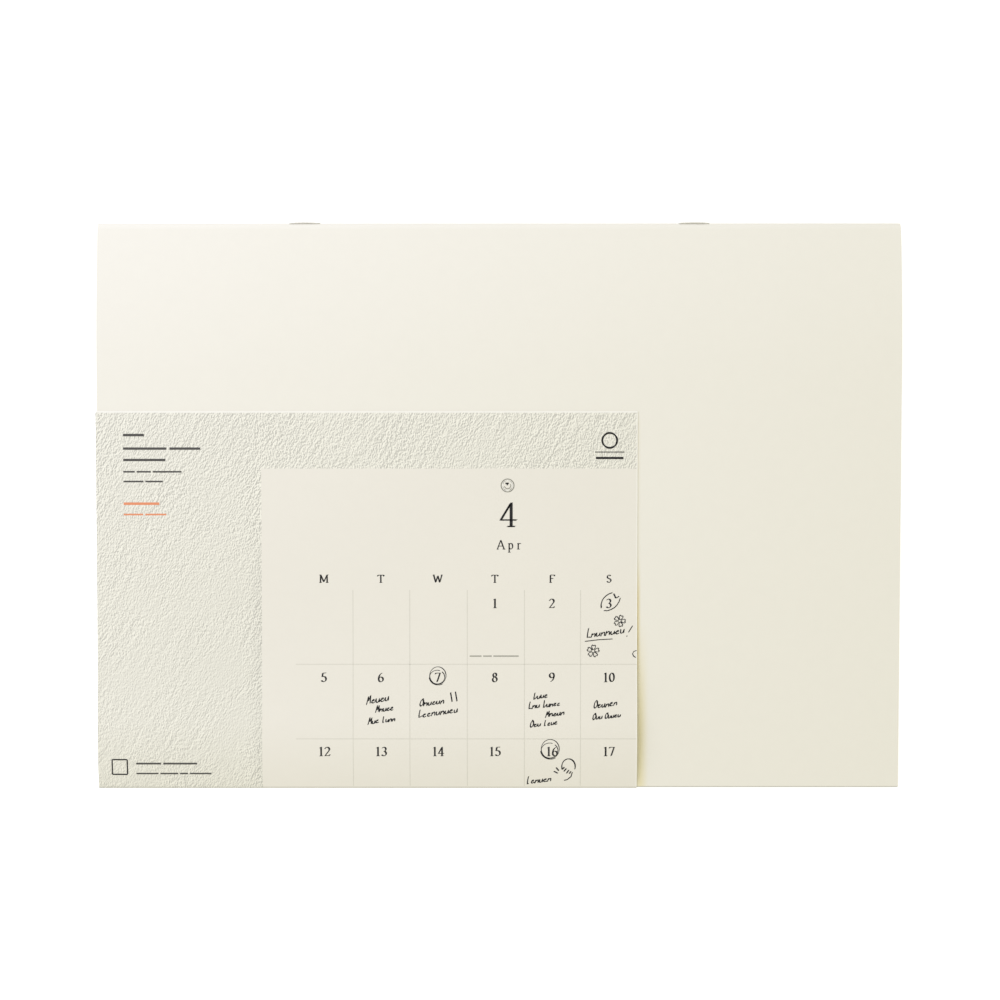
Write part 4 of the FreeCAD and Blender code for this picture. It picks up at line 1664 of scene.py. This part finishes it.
@dataclass
class MonthPrint:
    """What is printed and drawn on the band: the month sheet, its figures, notes and small blocks of type."""

    band: Piece
    black: Material
    type_black: Material
    orange: Material
    grey: Material
    drawn: Material
    glint: Material
    shadow: Material
    month: int = 4
    month_at: Place = (3.6, -3.1)
    month_height: float = 9.2
    month_widen: float = 1.3
    short_name: tuple[tuple[Sign, float], ...] = ((Sign.A, -0.65), (Sign.P, 3.55), (Sign.R, 6.9))
    name_foot: float = -16.0
    name_width: float = 3.9
    name_height: float = 3.5
    columns: tuple[float, ...] = (-64.7, -43.6, -22.5, -1.35, 19.8, 40.9)
    heads_at: float = -26.9
    heads: tuple[Sign, ...] = (Sign.M, Sign.T, Sign.W, Sign.T, Sign.F, Sign.S)
    head_height: float = 2.95
    head_widen: float = 1.2
    weeks: tuple[tuple[float, int, int, int], ...] = ((-36.05, 1, 3, 3), (-63.55, 5, 0, 6), (-91.1, 12, 0, 6))
    date_height: float = 3.5
    date_widen: float = 1.16
    rules_across: tuple[float, ...] = (-53.95, -32.9, -11.6, 9.6, 30.4)
    rules_upright: Span = (-31.1, -104.2)
    rules_along: tuple[float, ...] = (-58.7, -86.4)
    rules_level: Span = (-75.2, 51.2)
    pin_at: Place = (3.35, 7.65)
    pin_radii: Triple = (1.84, 2.38, 1.2)
    ruling_height: float = 0.02
    print_height: float = 0.03
    drawing_height: float = 0.035
    seed: int = 14

    def figures(self) -> None:
        """Print the month's number and short name, the column heads and the dates."""
        pen = Pen("band_figures", self.black)
        pen.number(self.month, self.month_at, self.month_height, FIGURE_NIB, self.month_widen)
        for sign, left in self.short_name:
            pen.sign(sign, (left, self.name_foot), self.name_width, self.name_height, NAME_NIB)
        wide = self.head_height * self.head_widen
        for sign, middle in zip(self.heads, self.columns):
            corner = (middle - wide * WIDTHS[sign] / 2, self.heads_at - self.head_height / 2)
            pen.sign(sign, corner, wide, self.head_height, HEAD_NIB)
        for along, first, column, count in self.weeks:
            for place in range(count):
                middle = (self.columns[column + place], along)
                pen.number(first + place, middle, self.date_height, DATE_NIB, self.date_widen)
        pen.press(self.band, self.print_height)

    def small_type(self) -> None:
        """Print the blocks of small type as rows of plain bars, with the plain marks beside them."""
        pen = Pen("band_type", self.type_black)
        for line in TITLE_LINES:
            pen.bars(line.bars())
        pen.press(self.band, self.print_height)
        pen = Pen("band_emblem", self.black)
        pen.lines([EMBLEM_RING], RING_NIB)
        pen.lines([SQUARE], SQUARE_NIB)
        pen.bars(EMBLEM_BARS)
        pen.press(self.band, self.print_height)
        pen = Pen("band_orange_type", self.orange)
        for line in ORANGE_LINES:
            pen.bars(line.bars())
        pen.press(self.band, self.print_height)

    def ruling(self) -> None:
        """Print the pale ruling of the month sheet."""
        pen = Pen("band_ruling", self.grey)
        top, foot = self.rules_upright
        left, right = self.rules_level
        pen.lines([between((across, top), (across, foot), 2) for across in self.rules_across], UPRIGHT_RULE_NIB)
        pen.lines([between((left, along), (right, along), 12) for along in self.rules_along], LEVEL_RULE_NIB)
        pen.press(self.band, self.ruling_height)

    def pin(self) -> None:
        """Print the round pin at the head of the month sheet: a pale disc, two rings and a dark point."""
        face, rim, core = self.pin_radii
        disc = Pen("band_pin_glint", self.glint)
        disc.lines([bowl(*self.pin_at, face, face, 0, 360, 32)], PIN_DISC_NIB)
        disc.press(self.band, self.print_height)
        rings = Pen("band_pin_rings", self.shadow)
        rings.lines([bowl(*self.pin_at, rim, rim, 0, 360, 36)], PIN_RIM_NIB)
        rings.lines([bowl(*self.pin_at, core, core, -165, 25, 20)], PIN_CORE_NIB)
        rings.bars(WEEK_LINE.bars())
        rings.press(self.band, self.print_height)
        point = Pen("band_pin_point", self.black)
        point.bars(PIN_POINT)
        point.press(self.band, self.print_height)

    def drawing(self) -> None:
        """Draw the loops round three dates, the notes and the small flowers."""
        chance = random.Random(self.seed)
        pen = Pen("band_drawing", self.drawn)
        pen.lines(OPEN_LOOP, OPEN_LOOP_NIB)
        loops = []
        for across, along, wide in DATE_LOOPS:
            loops.append(bowl(across, along, wide * 0.93, wide, 20, 395, 36))
            loops.append(bowl(across - 0.25, along - 0.55, wide * 0.86, wide * 0.78, 70, 410, 32))
            loops.append(bowl(across + 0.1, along - 0.2, wide * 1.04, wide * 1.02, 190, 300, 12))
        pen.lines(loops, DATE_LOOP_NIB)
        pen.lines([stroke for scrawl in SCRAWLS for stroke in scrawl.strokes(chance)], SCRAWL_NIB)
        pen.lines(UNDERLINE + TWO_STEMS + ROUND_DRAWING, STROKE_NIB)
        pen.lines(DASHES, DASH_NIB)
        petals = [petal for flower in FLOWERS for petal in flower.strokes()]
        pen.lines(petals + [CUT_PETAL], PETAL_NIB)
        pen.press(self.band, self.drawing_height)

    def build(self) -> None:
        """Print and draw everything."""
        self.ruling()
        self.pin()
        self.figures()
        self.small_type()
        self.drawing()


# ---------------------------------------------------------------------------------------------
# The room
# ---------------------------------------------------------------------------------------------


@dataclass
class Studio:
    """The pale floor, the soft light and the camera that looks down on the calendar."""

    key_place: Triple = (-0.52, 0.4, 0.55)
    key_size: float = 0.9
    key_power: float = 3.13
    key_colour: Colour = (0.95, 0.985, 1.47)
    fill_colour: Colour = (1.0, 0.983, 0.836)
    fill_strength: float = 0.765
    lens: float = 87.19
    camera_place: Triple = (0.00055, 0.0179, 0.9042)
    camera_tilt: float = -1.0
    floor_size: float = 4.0
    floor_drop: float = 0.2
    floor_colour: Colour = (0.82, 0.82, 0.81)
    floor_glow: float = 0.62

    def floor(self) -> Piece:
        """Make the floor, white to the camera and plain to the light.

        Returns:
            The floor.
        """
        Bench.clear()
        bpy.ops.mesh.primitive_plane_add(size=self.floor_size, location=(0, 0, 0))
        floor = bpy.context.active_object
        floor.name = "floor"
        bpy.ops.object.mode_set(mode="EDIT")
        bpy.ops.mesh.select_all(action="SELECT")
        bpy.ops.mesh.subdivide(number_cuts=3)
        bpy.ops.transform.translate(value=(0, 0, -self.floor_drop * MM))
        bpy.ops.object.mode_set(mode="OBJECT")
        nodes = Nodes("floor_white")
        mottle = nodes.noise(nodes.across(), 40)
        floor.data.materials.append(nodes.dress(
            Base_Color=nodes.shade(self.floor_colour, 1 + (mottle - 0.5) * 0.01),
            Roughness=0.9,
            Specular_IOR_Level=0.1,
            Emission_Color=nodes.blend(nodes.looked_at(), (0.0, 0.0, 0.0), (1.0, 1.0, 1.0)),
            Emission_Strength=self.floor_glow,
        ))
        return floor

    def light(self) -> None:
        """Hang the key light and set the room's own light."""
        bpy.ops.object.light_add(type="AREA", location=self.key_place)
        key = bpy.context.active_object
        key.name = "key_light"
        key.data.shape = "SQUARE"
        key.data.size = self.key_size
        key.data.energy = self.key_power
        key.data.color = self.key_colour
        key.rotation_euler = (-Vector(self.key_place)).to_track_quat("-Z", "Y").to_euler()
        room = RoomNodes("room")
        seen = room.looked_at()
        room.feed(room.shader.inputs["Color"], room.blend(seen, self.fill_colour, (1.0, 1.0, 1.0)))
        room.feed(room.shader.inputs["Strength"], self.fill_strength + seen * (1 - self.fill_strength))
        bpy.context.scene.world = room.world

    def camera(self) -> None:
        """Place the camera."""
        bpy.ops.object.camera_add(location=self.camera_place, rotation=(math.radians(self.camera_tilt), 0, 0))
        camera = bpy.context.active_object
        camera.name = "camera"
        camera.data.sensor_width = 36.0
        camera.data.lens = self.lens
        camera.data.clip_start = 0.01
        bpy.context.scene.camera = camera

    def build(self) -> None:
        """Set up the whole room."""
        self.floor()
        self.light()
        self.camera()
        bpy.context.scene.view_settings.view_transform = "Standard"


STAPLE_PITCH = 144.0
# The inks in the order in which the print takes them.
INKS: dict[str, Colour] = {
    "black_ink": tone(26, 24, 22),
    "type_ink": tone(78, 76, 72),
    "orange_ink": tone(235, 150, 108),
    "grey_ink": tone(221, 218, 205),
    "drawing_ink": tone(20, 19, 19),
    "glint_ink": tone(247, 245, 236),
    "pin_shadow_ink": tone(168, 166, 154),
}


def main() -> None:
    """Build the calendar and its room."""
    logging.basicConfig(level=logging.INFO, format="%(name)s %(message)s")
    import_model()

    shape = FoldShape()
    cover_paper = CoverPaper("cover_paper", tone(243, 240, 228)).build()
    leaf_paper = LeafPaper("leaf_paper", tone(243, 241, 234)).build()
    band_paper = Paper("band_paper", tone(240, 236, 223), roughness=0.66)
    edge = CutEdge("cut_edge", tone(224, 220, 204)).build()
    # The last tone is the pale margin at the band's ends, lighter than its paper as a painted highlight.
    print_tones = (tone(232, 230, 217), tone(240, 236, 224), tone(251, 249, 240))
    band_face = BandPrint("band_print", band_paper, *print_tones).build()
    wire = StapleSteel("staple_steel").build()

    CoverSheet(shape, cover_paper, edge).build()
    MonthLeaves(shape, leaf_paper, edge).build()
    Staple(shape, wire, -STAPLE_PITCH / 2, "staple_left").build()
    Staple(shape, wire, STAPLE_PITCH / 2, "staple_right").build()
    band = LabelBand(shape, band_face, band_paper.build(), edge).build()
    inks = (Ink(name, colour, tone(241, 237, 224)).build() for name, colour in INKS.items())
    MonthPrint(band, *inks).build()
    Studio().build()

    bpy.context.view_layer.update()


if __name__ == "__main__":
    main()
